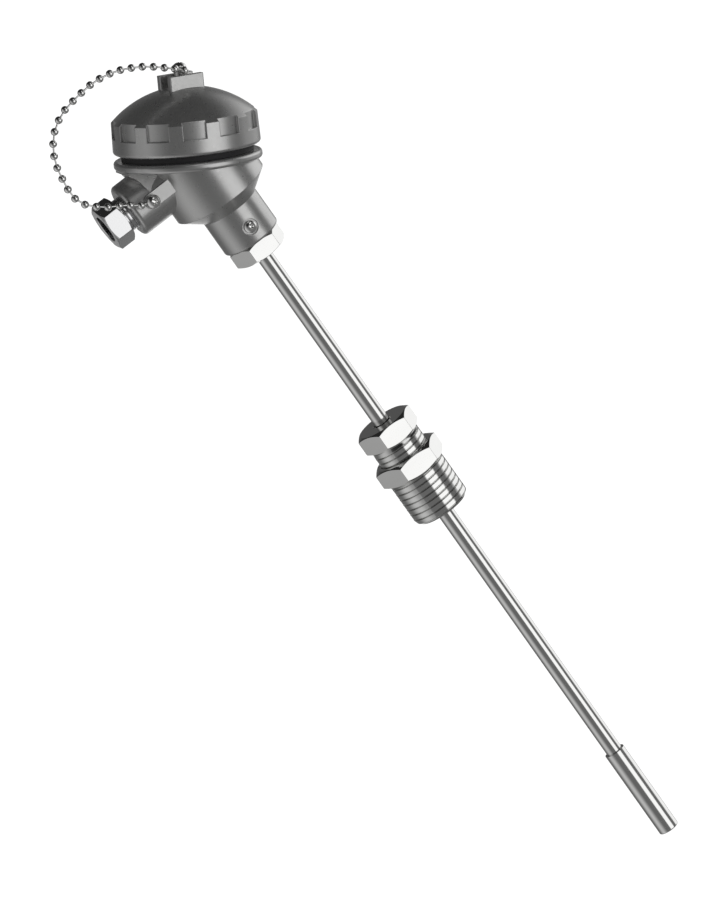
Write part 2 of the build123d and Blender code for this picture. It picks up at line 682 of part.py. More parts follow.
# Screw cap: domed shell, twelve grip pockets, two lug ribs and the seat of the chain screw
with BuildPart() as cap:
    with BuildSketch(through(CAP)):
        with BuildLine():
            FilletPolyline(
                (CAP_BORE_R, RIM_BOTTOM),
                (CAP_D / 2, RIM_BOTTOM),
                (CAP_TOP_D / 2, RIM_TOP),
                radius=CAP_RIM_ROUND,
            )
            ThreePointArc(
                (CAP_TOP_D / 2, RIM_TOP), (CAP_TOP_D / 4, dome_height(DOME_R, CAP_TOP_D / 4)), (0, DOME_TOP)
            )
            Line((0, DOME_TOP), (0, DOME_TOP - CAP_WALL))
            inside = ThreePointArc(
                (0, DOME_TOP - CAP_WALL),
                (CAP_SHOULDER_R / 2, dome_height(DOME_R - CAP_WALL, CAP_SHOULDER_R / 2)),
                (CAP_SHOULDER_R, dome_height(DOME_R - CAP_WALL, CAP_SHOULDER_R)),
            )
            Polyline(inside @ 1, (CAP_BORE_R, RIM_BOTTOM + CAP_THREAD_DEPTH), (CAP_BORE_R, RIM_BOTTOM))
        make_face()
    revolve(axis=axis_of(CAP))
    with BuildSketch(CAP.offset(RIM_BOTTOM + POCKET_SILL)):
        with PolarLocations(CAP_D / 2, POCKETS, start_angle=POCKET_TURN):
            Rectangle(4 * POCKET_DEPTH, POCKET_WIDTH)
        Circle(CAP_TOP_D / 2 - POCKET_DEPTH, mode=Mode.SUBTRACT)
    extrude(amount=CAP_RIM_HEIGHT, mode=Mode.SUBTRACT)
    with BuildSketch(CAP.offset(DOME_TOP - CAP_WALL / 2)):
        with GridLocations(0, LUG_SLOT + LUG_RIB, 1, 2):
            RectangleRounded(LUG_LENGTH, LUG_RIB, LUG_ROUND)
    extrude(amount=LUG_TOP - DOME_TOP + CAP_WALL / 2)
    with BuildSketch(CAP.offset(DOME_TOP - CAP_WALL / 2)):
        Circle(CHAIN_SEAT_D / 2)
    extrude(amount=CHAIN_SEAT_TOP - DOME_TOP + CAP_WALL / 2)
    with BuildSketch(CAP.offset(CHAIN_SEAT_TOP)):
        Circle(CHAIN_SCREW_SHANK_D / 2 + SEAT)
    extrude(amount=-CHAIN_SCREW_REACH, mode=Mode.SUBTRACT)
finish(cap, "cap")

# Chain eyes, and the screws that hold them on the cap and on the boss pad
CAP_EYE = HEAD.offset(CHAIN_SEAT_TOP + SEAT)
PAD_EYE = PAD_FACE.offset(PAD_SEAT_HEIGHT + SEAT)
for eye_plane, place in ((CAP_EYE, "cap"), (PAD_EYE, "boss")):
    with BuildPart() as chain_eye:
        with BuildSketch(eye_plane):
            Circle(EYE_D / 2)
            Circle(CHAIN_SCREW_SHANK_D / 2 + RUNNING, mode=Mode.SUBTRACT)
        extrude(amount=EYE_THICKNESS)
    finish(chain_eye, f"{place}_chain_eye")

    with BuildPart() as chain_screw:
        pan_head_screw(
            eye_plane.offset(EYE_THICKNESS + SEAT),
            CHAIN_SCREW_HEAD_D,
            CHAIN_SCREW_HEAD_HEIGHT,
            CHAIN_SCREW_SHANK_D,
            CHAIN_SCREW_REACH,
        )
    finish(chain_screw, f"{place}_chain_screw")

# Bead chain: equal steps along its route from one eye to the other, and a link to each eye
cap_end = moved(spun(CAP_EYE, CAP_BEAD_TURN).offset(EYE_THICKNESS / 2), CAP_BEAD_REACH)
pad_end = moved(spun(PAD_EYE, PAD_BEAD_TURN).offset(EYE_THICKNESS / 2), PAD_BEAD_REACH)
with BuildLine() as chain_route:
    Spline(cap_end.origin, *CHAIN_ROUTE, pad_end.origin)
route = chain_route.edge()
steps = round(route.length / BEAD_PITCH)
bead_planes = [Plane(origin=route @ (n / steps), z_dir=route % (n / steps)) for n in range(steps + 1)]
link_planes = [
    Plane(origin=(one.origin + other.origin) / 2, z_dir=other.origin - one.origin)
    for one, other in zip(bead_planes, bead_planes[1:])
]

corners = [Vector(0, BEAD_D / 2).rotate(Axis.Z, -angle) for angle in BEAD_CORNERS]
with BuildPart() as bead:
    turned(Plane.XY, (0, corners[0].Y), *corners, (0, corners[-1].Y))

with BuildPart() as bead_chain:
    with Locations(*bead_planes):
        add(bead.part)
    with Locations(*link_planes):
        Cylinder(LINK_D / 2, route.length / steps - BEAD_D / 2)
    for end, reach in ((cap_end, CAP_BEAD_REACH), (pad_end, PAD_BEAD_REACH)):
        with BuildSketch(Plane(origin=end.origin, z_dir=-end.x_dir)):
            Circle(LINK_D / 2)
        extrude(amount=reach - EYE_D / 2 - LINK_GAP)
finish(bead_chain, "bead_chain")

# Cable gland: threaded shell in the boss, rubber grommet, washer and clamping nut
with BuildPart() as gland_body:
    with BuildSketch(BOSS_END.offset(-GLAND_INSET)):
        Circle(GLAND_THREAD_D / 2)
    extrude(amount=GLAND_INSET + GLAND_BODY_END)
    with BuildSketch(BOSS_END.offset(-GLAND_INSET)):
        Circle(GLAND_SHOULDER_D / 2)
    extrude(amount=GLAND_INSET + GLAND_BODY_END, mode=Mode.SUBTRACT)
    with BuildSketch(BOSS_END.offset(GLAND_SHOULDER - GLAND_INSET)):
        Circle(GLAND_SHELL_D / 2)
    extrude(amount=GLAND_INSET + GLAND_BODY_END, mode=Mode.SUBTRACT)
finish(gland_body, "gland_body")

with BuildPart() as gland_grommet:
    with BuildSketch(BOSS_END.offset(GLAND_SHOULDER - GLAND_INSET + SEAT)):
        Circle(GLAND_SHELL_D / 2 - SEAT)
        Circle(GROMMET_BORE_D / 2, mode=Mode.SUBTRACT)
    extrude(amount=GLAND_INSET - GLAND_SHOULDER + GLAND_BODY_END - SEAT)
finish(gland_grommet, "gland_grommet")

with BuildPart() as gland_washer:
    with BuildSketch(BOSS_END.offset(GLAND_BODY_END + SEAT)):
        Circle(GLAND_THREAD_D / 2)
        Circle(GLAND_WASHER_D / 2, mode=Mode.SUBTRACT)
    extrude(amount=GLAND_WASHER_THICKNESS)
finish(gland_washer, "gland_washer")

with BuildPart() as gland_nut:
    chamfered_hex(GLAND_HEX_PLANE, GLAND_HEX, GLAND_HEX_LENGTH)
    with BuildSketch(GLAND_HEX_PLANE):
        Circle(GLAND_THREAD_D / 2 + RUNNING)
    extrude(amount=GLAND_HEX_LENGTH - GLAND_LIP, mode=Mode.SUBTRACT)
    with BuildSketch(GLAND_HEX_PLANE):
        Circle(GLAND_MOUTH_D / 2)
    extrude(amount=GLAND_HEX_LENGTH, mode=Mode.SUBTRACT)
finish(gland_nut, "gland_nut")
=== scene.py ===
"""Looks of a resistance thermometer with a slanted connection head, built on its packed frame.

Lengths are in metres unless a comment says mm. Z runs along the stem, and the cable leaves
towards -X.
"""

import json
import math

import bmesh
import bpy
from mathutils import Matrix, Vector


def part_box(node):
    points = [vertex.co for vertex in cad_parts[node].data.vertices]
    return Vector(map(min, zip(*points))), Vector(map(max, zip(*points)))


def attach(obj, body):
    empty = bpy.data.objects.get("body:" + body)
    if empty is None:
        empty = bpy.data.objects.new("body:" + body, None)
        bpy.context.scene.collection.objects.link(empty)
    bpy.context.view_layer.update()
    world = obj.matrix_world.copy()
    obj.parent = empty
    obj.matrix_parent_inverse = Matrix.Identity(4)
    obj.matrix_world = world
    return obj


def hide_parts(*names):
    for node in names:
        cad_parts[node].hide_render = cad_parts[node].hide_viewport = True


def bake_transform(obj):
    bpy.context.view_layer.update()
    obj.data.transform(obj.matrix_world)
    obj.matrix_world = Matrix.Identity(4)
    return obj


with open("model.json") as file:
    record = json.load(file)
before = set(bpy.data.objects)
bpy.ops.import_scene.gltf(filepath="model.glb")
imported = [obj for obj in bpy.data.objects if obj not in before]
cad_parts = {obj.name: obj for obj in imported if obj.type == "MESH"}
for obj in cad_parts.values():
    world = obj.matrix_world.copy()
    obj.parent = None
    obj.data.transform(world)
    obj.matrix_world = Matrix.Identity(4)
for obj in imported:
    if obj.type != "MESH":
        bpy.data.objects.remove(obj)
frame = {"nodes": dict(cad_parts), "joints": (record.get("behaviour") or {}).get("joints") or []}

bl_info = {
    "name": "Probe head looks",
    "version": (1, 0, 0),
    "blender": (4, 5, 0),
    "location": "3D View > Sidebar > Probe",
    "description": "Threads, nuts, screws, chain, finishes and studio of a probe with a head",
    "category": "Object",
}

MM = 0.001

STEM_AXIS = Vector((0, 0, 1))
FRONT = Vector((0, -1, 0))
JOINTS = {joint["name"]: joint for joint in frame["joints"]}
CAP_AXIS = Vector(JOINTS["cap_turn"]["axis"]).normalized()
CAP_DOWNHILL = Vector((CAP_AXIS.z, 0, -CAP_AXIS.x))
GLAND_AXIS = Vector(JOINTS["gland_turn"]["axis"]).normalized()

# Outlines of the turned pieces as (radius, height) in mm, from the same sizes as the solids
FITTING_INSIDE = (
    (9.25, 7.2), (9.25, 0.58), (6.05, 0.58), (6.05, -8.14),
    (3.6, -11.74), (3.1, -11.74), (3.1, -16.8),
)
BOLT_OUTSIDE = ((6.0, 0.6), (6.0, -5.0))
BOLT_INSIDE = (
    (4.45, -5.0), (4.45, -1.98), (3.1, -1.98), (3.1, 19.4), (3.55, 19.4), (3.55, 20.4),
)
PIPE_CREST_R = 10.55 * MM
PIPE_END_STEP = 0.5 * MM
BOLT_CREST_R = 9.2 * MM
BOLT_END_STEP = 0.2 * MM
GLAND_END_STEP = 0.1 * MM
SHEATH_WALL = 0.6 * MM
SHEATH_EDGE = 0.1 * MM
SLEEVE_NOSE_R = 0.55 * MM
SLEEVE_EDGE = 0.08 * MM
SLEEVE_FLOOR = 2.0 * MM
SLEEVE_BORE_R = 2.92 * MM
NIPPLE_R = 6.5 * MM
NECK_BORE_R = 2.92 * MM
NECK_HEX_HEIGHT = 6.5 * MM
HEX_HEIGHT = 7.2 * MM
GLAND_SHELL_R = 5.0 * MM
GLAND_SHOULDER = 2.0 * MM
GLAND_SHOULDER_R = 4.0 * MM
GLAND_MOUTH_R = 5.0 * MM
GLAND_BORE_R = 6.35 * MM
GLAND_LIP = 2.0 * MM
EYE_HOLE_R = 1.35 * MM

# Bead chain, in mm: its route between the two end beads, and how those stand to their eyes
CHAIN_ROUTE = (
    (9.0, -6.0, 167.0), (0.0, -8.0, 174.4), (-11.4, -10.3, 179.4), (-22.9, -12.3, 180.0),
    (-33.9, -13.9, 177.6), (-41.1, -14.6, 170.8), (-44.4, -14.6, 160.0), (-44.1, -14.3, 151.2),
    (-38.5, -13.8, 144.4), (-31.6, -13.0, 139.8),
)
CAP_BEAD_REACH = 3.9 * MM
CAP_BEAD_TURN = math.radians(-80)
PAD_BEAD_REACH = 4.3 * MM
PAD_BEAD_TURN = math.radians(162)
BEAD_PITCH = 4.2 * MM
LINK_GAP = 0.1 * MM

# Web between the flange and the cable boss, in mm: its edge as (distance from the cap's axis,
# height along it from the head's origin), and the foot that stands in the boss as (x, z)
HEAD_ORIGIN = Vector((0, 0, 139.6))
FLANGE_UNDERSIDE = -5.9
WEB_EDGE = ((12.0, -5.5), (23.7, -5.5), (23.7, -6.9), (21.8, -7.75), (20.2, -9.1), (19.1, -10.6))
WEB_FOOT = ((-21.4, 136.6), (-12.0, 136.6))
WEB_HALF_WIDTH = 7.56
WEB_SLOPE = 0.25

# Thread form as (share of the pitch, height of the flank): a narrow groove and a wide crest
THREAD_FORM = (
    (0.0, 0.0), (0.03, 0.0), (0.09, 0.60), (0.13, 0.86), (0.17, 0.96),
    (0.23, 1.0), (0.84, 1.0), (0.90, 0.96), (0.94, 0.86), (0.97, 0.60),
)
THREAD_RUN_OUT = 0.9

# Hexagons: the angle at which their corners are turned off, and the rounding of the broken
# edges, as shares of the edge's width
HEX_CHAMFER = math.radians(30)
EDGE_RISE = 0.1
EDGE_MIDDLE = (0.22, 0.12)

# Screws: foot, side and rim of the head as shares of its radius or height, the point of the
# shank as shares of its radius, the recess's floor as shares of its mouth, and the height of
# its cutter as a share of the head's
HEAD_FOOT = (0.97, 0.06)
HEAD_SIDE = 0.85
HEAD_RIM = 0.99
SHANK_POINT = (0.8, 0.3)
RECESS_FLOOR = (0.45, 0.7)
CUTTER_HEIGHT = 1.3

# Rim and inside of the hole in a bead: radius and reach, as shares of the hole's or the
# link's radius and of the bead's
BEAD_RIM = (0.92, 0.985)
BEAD_INSIDE = (0.8, 0.72)

# Steps round and along the turned pieces
TUBE_COLUMNS, TUBE_STEPS, SLEEVE_STEPS = 72, 24, 8
GLAND_COLUMNS = 96
SCREW_COLUMNS, DOME_STEPS = 48, 10
BEAD_COLUMNS, BEAD_STEPS, LINK_COLUMNS = 20, 12, 10
EYE_COLUMNS, EYE_STEPS = 48, 16
FLOOR_COLUMNS = 64
CURVE_STEPS = 32

# Points closer than this are one point
WELD = 0.2e-6

# Sharper edges than this, in degrees, stay hard
CREASE = 32

# Finishes: spread of the gloss, how much coarser the tint is than the grain, samples of the
# rounded edges, and the pitch of the wound wire
GLOSS_SPREAD = 0.25
BROAD_RATIO = 14
BEVEL_SAMPLES = 16
WOUND_PITCH = 0.25 * MM

# Room that metal mirrors: its grey, how much darker its ceiling is, and the heights in degrees
# between which it darkens
ROOM_GREY = 0.15
CEILING_FALL = 0.13
CEILING_FROM, CEILING_TO = -5, 38
BACKDROP_WHITE = 1.0

# Floor, lamp, and the middle of the picture as (to the right, up) in the camera's plane
FLOOR_TONE = 0.86
FLOOR_GLOW = 0.55
FLOOR_RINGS = (0, 0.6, 2.5, 8.0)
LAMP_SIZE = 0.5
LAMP_PLACE = (-0.35, -0.65, 0.75)
LAMP_TARGET = (0, 0, 0.1)
PICTURE_MIDDLE = (-19.21 * MM, 6.5 * MM)


def length(name, description, default):
    """A length property in metres."""
    return bpy.props.FloatProperty(
        name=name, description=description, default=default, min=0, precision=5,
        subtype="DISTANCE", unit="LENGTH",
    )


def strength(name, description, default):
    """The brightness or power of a light."""
    return bpy.props.FloatProperty(name=name, description=description, default=default, min=0)


def share(name, description, default):
    """A property between nothing and all."""
    return bpy.props.FloatProperty(
        name=name, description=description, default=default, min=0, max=1, subtype="FACTOR"
    )


def tone(name, description, default):
    """A colour property."""
    return bpy.props.FloatVectorProperty(
        name=name, description=description, default=default, size=3, min=0, max=1,
        subtype="COLOR",
    )


def angle(name, description, degrees):
    """An angle property, given in degrees."""
    return bpy.props.FloatProperty(
        name=name, description=description, default=math.radians(degrees),
        subtype="ANGLE", unit="ROTATION",
    )


class ThreadSizes(bpy.types.PropertyGroup):
    """Pitches and depths of the three threads that show."""

    pipe_pitch: length("Pipe pitch", "Distance between two crests of the pipe thread", 2.15 * MM)
    pipe_depth: length("Pipe depth", "Depth of the pipe thread", 0.74 * MM)
    bolt_pitch: length("Bolt pitch", "Distance between two crests of the bolt", 2.0 * MM)
    bolt_depth: length("Bolt depth", "Depth of the bolt's thread", 0.7 * MM)
    gland_pitch: length("Gland pitch", "Distance between two crests of the gland", 1.5 * MM)
    gland_depth: length("Gland depth", "Depth of the gland's thread", 0.5 * MM)


class NutSizes(bpy.types.PropertyGroup):
    """Corners and edges of the hexagons."""

    corner: length("Corner", "Rounding radius of a hexagon's corners", 0.25 * MM)
    edge: length("Edge", "Width of the broken edge round the turned faces", 0.12 * MM)
    face_share: share("Face", "Width of the flat end as a share of the width across flats", 0.97)
    columns: bpy.props.IntProperty(
        name="Columns", description="Steps along one flat", default=12, min=4
    )
    gland_turn: angle("Gland turn", "How far the gland nut is tightened past its solid", 29)
    gland_face_share: share("Gland face", "Gland nut's flat end as a share of its flats", 0.995)


class ScrewSizes(bpy.types.PropertyGroup):
    """Heads of the pan-head screws."""

    edge_share: share("Edge", "Straight edge of the head as a share of its height", 0.4)
    recess_length: share("Recess length", "Length of the recess as a share of the head", 0.56)
    recess_width: share("Recess width", "Width of a wing as a share of the head", 0.15)
    recess_depth: share("Recess depth", "Depth of the recess as a share of the head", 0.72)
    recess_turn: angle("Recess turn", "How far the recess is turned about the screw", 28)


class ChainSizes(bpy.types.PropertyGroup):
    """Beads and links of the chain."""

    bead: length("Bead", "Diameter of a bead", 2.75 * MM)
    link: length("Link", "Diameter of a link", 0.62 * MM)
    hole: length("Hole", "Diameter of the hole in each end of a bead", 1.0 * MM)


class Finishes(bpy.types.PropertyGroup):
    """Colours and roughness of the materials."""

    steel: tone("Stainless steel", "Colour of the sheath and the fittings", (0.80, 0.80, 0.79))
    steel_roughness: share("Drawn roughness", "Roughness of the drawn tube and sleeve", 0.12)
    turned_roughness: share("Turned roughness", "Roughness of the turned steel", 0.08)
    casting: tone("Cast aluminium", "Colour of the head and the cap", (0.53, 0.53, 0.525))
    casting_roughness: share("Casting roughness", "Roughness of the cast head", 0.30)
    plating: tone("Plating", "Colour of the screws and the chain", (0.90, 0.90, 0.89))
    plating_roughness: share("Plating roughness", "Roughness of the plated pieces", 0.10)
    rubber: tone("Rubber", "Colour of the gasket and the gland's seals", (0.018, 0.018, 0.019))
    ceramic: tone("Ceramic", "Colour of the terminal block", (0.78, 0.75, 0.69))
    brass: tone("Brass", "Colour of the terminal clamps", (0.72, 0.55, 0.26))
    nickel: tone("Nickel wire", "Colour of the four conductors", (0.62, 0.58, 0.52))
    mineral: tone("Mineral powder", "Colour of the insulation in the sheath", (0.62, 0.61, 0.58))


class StudioSizes(bpy.types.PropertyGroup):
    """Camera, lamp and the soft reflectors of the studio."""

    azimuth: angle("Azimuth", "Bearing of the camera, from the front towards +X", -10)
    elevation: angle("Elevation", "Height of the camera above the horizon", 15)
    roll: angle("Roll", "How far the stem leans in the picture", 35.27)
    frame_height: length("Frame height", "Height that the picture covers at the stem", 307.7 * MM)
    lens: bpy.props.FloatProperty(
        name="Lens", description="Focal length in mm", default=1200, min=50
    )
    floor: length("Floor", "Distance of the floor below the origin", 0.26)
    fill: share("Fill", "Brightness of the room on matt surfaces", 0.62)
    key: strength("Key lamp", "Power of the soft lamp in watts", 0.9)
    window: strength("Window", "Brightness of the front window", 1.03)
    upper: strength("Upper window", "Brightness of the upper window", 0.9)
    back: strength("Backdrop", "Brightness of the backdrop in the metal", 0.85)
    side: strength("Right reflector", "Brightness of the right reflector", 1.03)
    bounce: strength("Left reflector", "Brightness of the left reflector", 0.42)


GROUPS = {
    "probe_threads": ThreadSizes,
    "probe_nuts": NutSizes,
    "probe_screws": ScrewSizes,
    "probe_chain": ChainSizes,
    "probe_finishes": Finishes,
    "probe_studio": StudioSizes,
}


def place_of(node, axis):
    """A CAD piece along an axis: matrix of its low end, length, radius and widest bearing."""
    turn = axis.to_track_quat("Z", "Y").to_matrix()
    points = [turn.transposed() @ vertex.co for vertex in frame["nodes"][node].data.vertices]
    low = Vector([min(point[i] for point in points) for i in range(3)])
    high = Vector([max(point[i] for point in points) for i in range(3)])
    middle = (low + high) / 2
    widest = max(points, key=lambda point: (point - middle).to_2d().length) - middle
    origin = turn @ Vector((middle.x, middle.y, low.z))
    matrix = Matrix.Translation(origin) @ turn.to_4x4()
    return matrix, high.z - low.z, widest.to_2d().length, math.atan2(widest.y, widest.x)


def evenly(columns):
    """Bearings that share a full turn evenly."""
    return [2 * math.pi * column / columns for column in range(columns)]


def ring(bearings, radius, height):
    """A ring of points; the radius and the height may differ from one bearing to the next."""
    count = len(bearings)
    radii = radius if isinstance(radius, list) else [radius] * count
    heights = height if isinstance(height, list) else [height] * count
    return [
        Vector((r * math.cos(bearing), r * math.sin(bearing), z))
        for bearing, r, z in zip(bearings, radii, heights)
    ]


def lathe(bearings, outline):
    """Rings of a turned outline, given as (radius, height) in metres."""
    return [ring(bearings, radius, height) for radius, height in outline]


def mouth(bearings, radius, high, edge):
    """The broken edge round a hole in a top face."""
    return [ring(bearings, radius + edge, high), ring(bearings, radius, high - edge)]


def along(place, way, rings):
    """Rings moved to a place, with their axis along a direction."""
    turn = way.to_track_quat("Z", "Y").to_matrix().to_4x4()
    matrix = Matrix.Translation(place) @ turn
    return [[matrix @ point for point in row] for row in rings]


def in_mm(outline):
    """An outline given in mm, in metres."""
    return [(radius * MM, height * MM) for radius, height in outline]


def skin(mesh, rings, closed=False):
    """Quads between each ring and the next, and from the last back to the first where closed."""
    rows = [[mesh.verts.new(point) for point in row] for row in rings]
    pairs = list(zip(rows, rows[1:])) + ([(rows[-1], rows[0])] if closed else [])
    for low, high in pairs:
        for i in range(len(low)):
            j = (i + 1) % len(low)
            mesh.faces.new((low[i], low[j], high[j], high[i]))


def hexagon(across_flats, corner, bearing, steps):
    """Bearings and radii of a hexagon with rounded corners and one corner at a bearing."""
    apothem = across_flats / 2
    sixth = math.pi / 6
    centre = (apothem - corner) / math.cos(sixth)
    tangent = math.atan2(corner * math.sin(sixth), centre + corner * math.cos(sixth))
    bearings, radii = [], []
    for side in range(6):
        start = bearing + side * 2 * sixth
        for i in range(-2, 3):
            off = tangent * i / 2
            bearings.append(start + off)
            half_chord = math.sqrt(corner**2 - (centre * math.sin(off)) ** 2)
            radii.append(centre * math.cos(off) + half_chord)
        for i in range(1, steps):
            off = tangent + (2 * sixth - 2 * tangent) * i / steps
            bearings.append(start + off)
            radii.append(apothem / math.cos(off - sixth))
    return bearings, radii


def nut_shape(node, axis, nuts, face_share, turn=0):
    """Place and height of a nut, and its hexagon: bearings, radii and radius of its flat end."""
    matrix, height, corner_r, bearing = place_of(node, axis)
    flats = 2 * corner_r * math.cos(math.pi / 6)
    bearings, radii = hexagon(flats, nuts.corner, bearing + turn, nuts.columns)
    return matrix, height, bearings, radii, face_share * flats / 2


def hex_rings(bearings, radii, face_r, low, high, edge):
    """Rings of a hexagon from its low face to its high one, with its corners turned off."""
    middle_in, middle_rise = EDGE_MIDDLE
    bevels = [(radius - face_r) * math.tan(HEX_CHAMFER) for radius in radii]
    inset = [radius - edge * math.cos(HEX_CHAMFER) for radius in radii]
    middle = [radius - edge * middle_in for radius in radii]
    near = edge * math.sin(HEX_CHAMFER)
    half = [
        ring(bearings, face_r - edge, low),
        ring(bearings, face_r, low + edge * EDGE_RISE),
        ring(bearings, inset, [low + bevel - near for bevel in bevels]),
        ring(bearings, middle, [low + bevel + edge * middle_rise for bevel in bevels]),
        ring(bearings, radii, [low + bevel + edge for bevel in bevels]),
    ]
    mirror = [[Vector((point.x, point.y, low + high - point.z)) for point in row] for row in half]
    return half + mirror[::-1]


def thread(mesh, bearings, crest, depth, low, high, pitch, end_step):
    """A right-hand thread between two heights, and the radii of the rings that close it."""
    high_r = crest - depth
    low_r = high_r - end_step
    columns, parts = len(bearings), len(THREAD_FORM)
    turns = math.ceil((high - low) / pitch) + 2
    rows = []
    for turn in range(-1, turns):
        for part, rise in THREAD_FORM:
            row = []
            for bearing in bearings:
                height = low + (turn + part + (bearing - bearings[0]) / (2 * math.pi)) * pitch
                low_cone = low_r + (height - low)
                high_cone = high_r + THREAD_RUN_OUT * (high - height)
                radius = min(high_r + depth * rise, low_cone, high_cone)
                if height <= low:
                    radius, height = low_r, low
                if height >= high:
                    radius, height = high_r, high
                point = (radius * math.cos(bearing), radius * math.sin(bearing), height)
                row.append(mesh.verts.new(point))
            rows.append(row)
    for i in range(len(rows) - 1):
        for j in range(columns - 1):
            mesh.faces.new((rows[i][j], rows[i][j + 1], rows[i + 1][j + 1], rows[i + 1][j]))
    for i in range(len(rows) - 1 - parts):
        mesh.faces.new((rows[i][-1], rows[i + parts][0], rows[i + parts + 1][0], rows[i + 1][-1]))
    return low_r, high_r


def new_object(name, data):
    """An object in the scene."""
    item = bpy.data.objects.new(name, data)
    bpy.context.scene.collection.objects.link(item)
    return item


def shaped(mesh, name, matrix=None, crease=CREASE):
    """Turn a bmesh into a smooth object with its hard edges kept, placed by a matrix."""
    bmesh.ops.remove_doubles(mesh, verts=mesh.verts, dist=WELD)
    bmesh.ops.dissolve_degenerate(mesh, edges=mesh.edges, dist=WELD)
    loose = [vertex for vertex in mesh.verts if not vertex.link_faces]
    bmesh.ops.delete(mesh, geom=loose, context="VERTS")
    bmesh.ops.recalc_face_normals(mesh, faces=mesh.faces)
    data = bpy.data.meshes.new(name)
    mesh.to_mesh(data)
    mesh.free()
    piece = new_object(name, data)
    piece.matrix_world = matrix or Matrix.Identity(4)
    smooth(piece, crease)
    return piece


def smooth(piece, crease):
    """Smooth shading with the edges above an angle kept hard."""
    piece.data.shade_smooth()
    piece.data.set_sharp_from_angle(angle=math.radians(crease))
    weighted = piece.modifiers.new("even_shading", "WEIGHTED_NORMAL")
    weighted.keep_sharp = True


def evaluated_mesh(piece):
    """The mesh of an object with its modifiers, or of a curve."""
    bpy.context.view_layer.update()
    depsgraph = bpy.context.evaluated_depsgraph_get()
    return bpy.data.meshes.new_from_object(piece.evaluated_get(depsgraph))


def stand_in(piece, body, slot_name, material, *nodes):
    """Let a piece ride on a body in place of CAD nodes, with a material; the slot name is not
    used.
    """
    piece.data.materials.clear()
    piece.data.materials.append(material)
    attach(piece, body)
    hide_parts(*nodes)


class Nodes:
    """A small helper that adds shader nodes and joins them."""

    def __init__(self, tree):
        self.tree = tree

    def add(self, kind, inputs=None, **settings):
        """A node with settings; an input may be a value or another node's output socket."""
        node = self.tree.nodes.new(kind)
        for name, value in settings.items():
            setattr(node, name, value)
        for name, value in (inputs or {}).items():
            if isinstance(value, bpy.types.NodeSocket):
                self.tree.links.new(value, node.inputs[name])
            else:
                node.inputs[name].default_value = value
        return node

    def math(self, operation, *values):
        """The output of a math node."""
        return self.add("ShaderNodeMath", dict(enumerate(values)), operation=operation).outputs[0]

    def edge(self, value, start, end):
        """A smooth step from nothing at start to all at end, also where end is below start."""
        inputs = {"Value": value, "From Min": start, "From Max": end}
        node = self.add("ShaderNodeMapRange", inputs, interpolation_type="SMOOTHSTEP")
        return node.outputs["Result"]

    def between(self, value, low, high, soft):
        """All between two values, with soft ends."""
        rise = self.edge(value, low - soft, low + soft)
        fall = self.edge(value, high + soft, high - soft)
        return self.math("MULTIPLY", rise, fall)

    def mix(self, factor, low, high, **settings):
        """A value between two, by a factor."""
        inputs = {"Factor": factor, "A": low, "B": high}
        return self.add("ShaderNodeMix", inputs, **settings).outputs["Result"]

    def noise(self, vector, scale, detail=3.0, roughness=0.55):
        """The value of a noise texture."""
        inputs = {"Vector": vector, "Scale": scale, "Detail": detail, "Roughness": roughness}
        return self.add("ShaderNodeTexNoise", inputs).outputs["Fac"]

    def ramp(self, value, low, high):
        """A colour between two, by a value."""
        return self.mix(value, (*low, 1), (*high, 1), data_type="RGBA")

    def span(self, value, low, high):
        """A value stretched from 0..1 to low..high."""
        inputs = {"Value": value, "To Min": low, "To Max": high}
        return self.add("ShaderNodeMapRange", inputs).outputs["Result"]

    def stretched(self, scale):
        """Object coordinates with their own scale on each axis."""
        where = self.add("ShaderNodeTexCoord").outputs["Object"]
        return self.add("ShaderNodeMapping", {"Vector": where, "Scale": scale}).outputs["Vector"]


def shifted(colour, factor):
    """A colour made darker or lighter."""
    return tuple(min(1.0, max(0.0, channel * factor)) for channel in colour)


def finish(
    name, colour, metallic, roughness, grain, relief, stretch=(1, 1, 1), vary=0.06, edges=0.0
):
    """A material with noise in its colour, roughness and relief, and optional rounded edges."""
    material = bpy.data.materials.new(name)
    material.use_nodes = True
    tree = material.node_tree
    nodes = Nodes(tree)
    shader = tree.nodes["Principled BSDF"]
    shader.inputs["Metallic"].default_value = metallic
    where = nodes.stretched(stretch)
    fine = nodes.noise(where, grain)
    broad = nodes.noise(where, grain / BROAD_RATIO, detail=2.0)
    tint = nodes.ramp(broad, shifted(colour, 1 - vary), shifted(colour, 1 + vary))
    tree.links.new(tint, shader.inputs["Base Color"])
    gloss = nodes.span(fine, roughness * (1 - GLOSS_SPREAD), roughness * (1 + GLOSS_SPREAD))
    tree.links.new(gloss, shader.inputs["Roughness"])
    inputs = {"Height": fine, "Strength": 1.0, "Distance": relief}
    if edges:
        bevel = nodes.add("ShaderNodeBevel", {"Radius": edges}, samples=BEVEL_SAMPLES)
        inputs["Normal"] = bevel.outputs["Normal"]
    bump = nodes.add("ShaderNodeBump", inputs)
    tree.links.new(bump.outputs["Normal"], shader.inputs["Normal"])
    return material


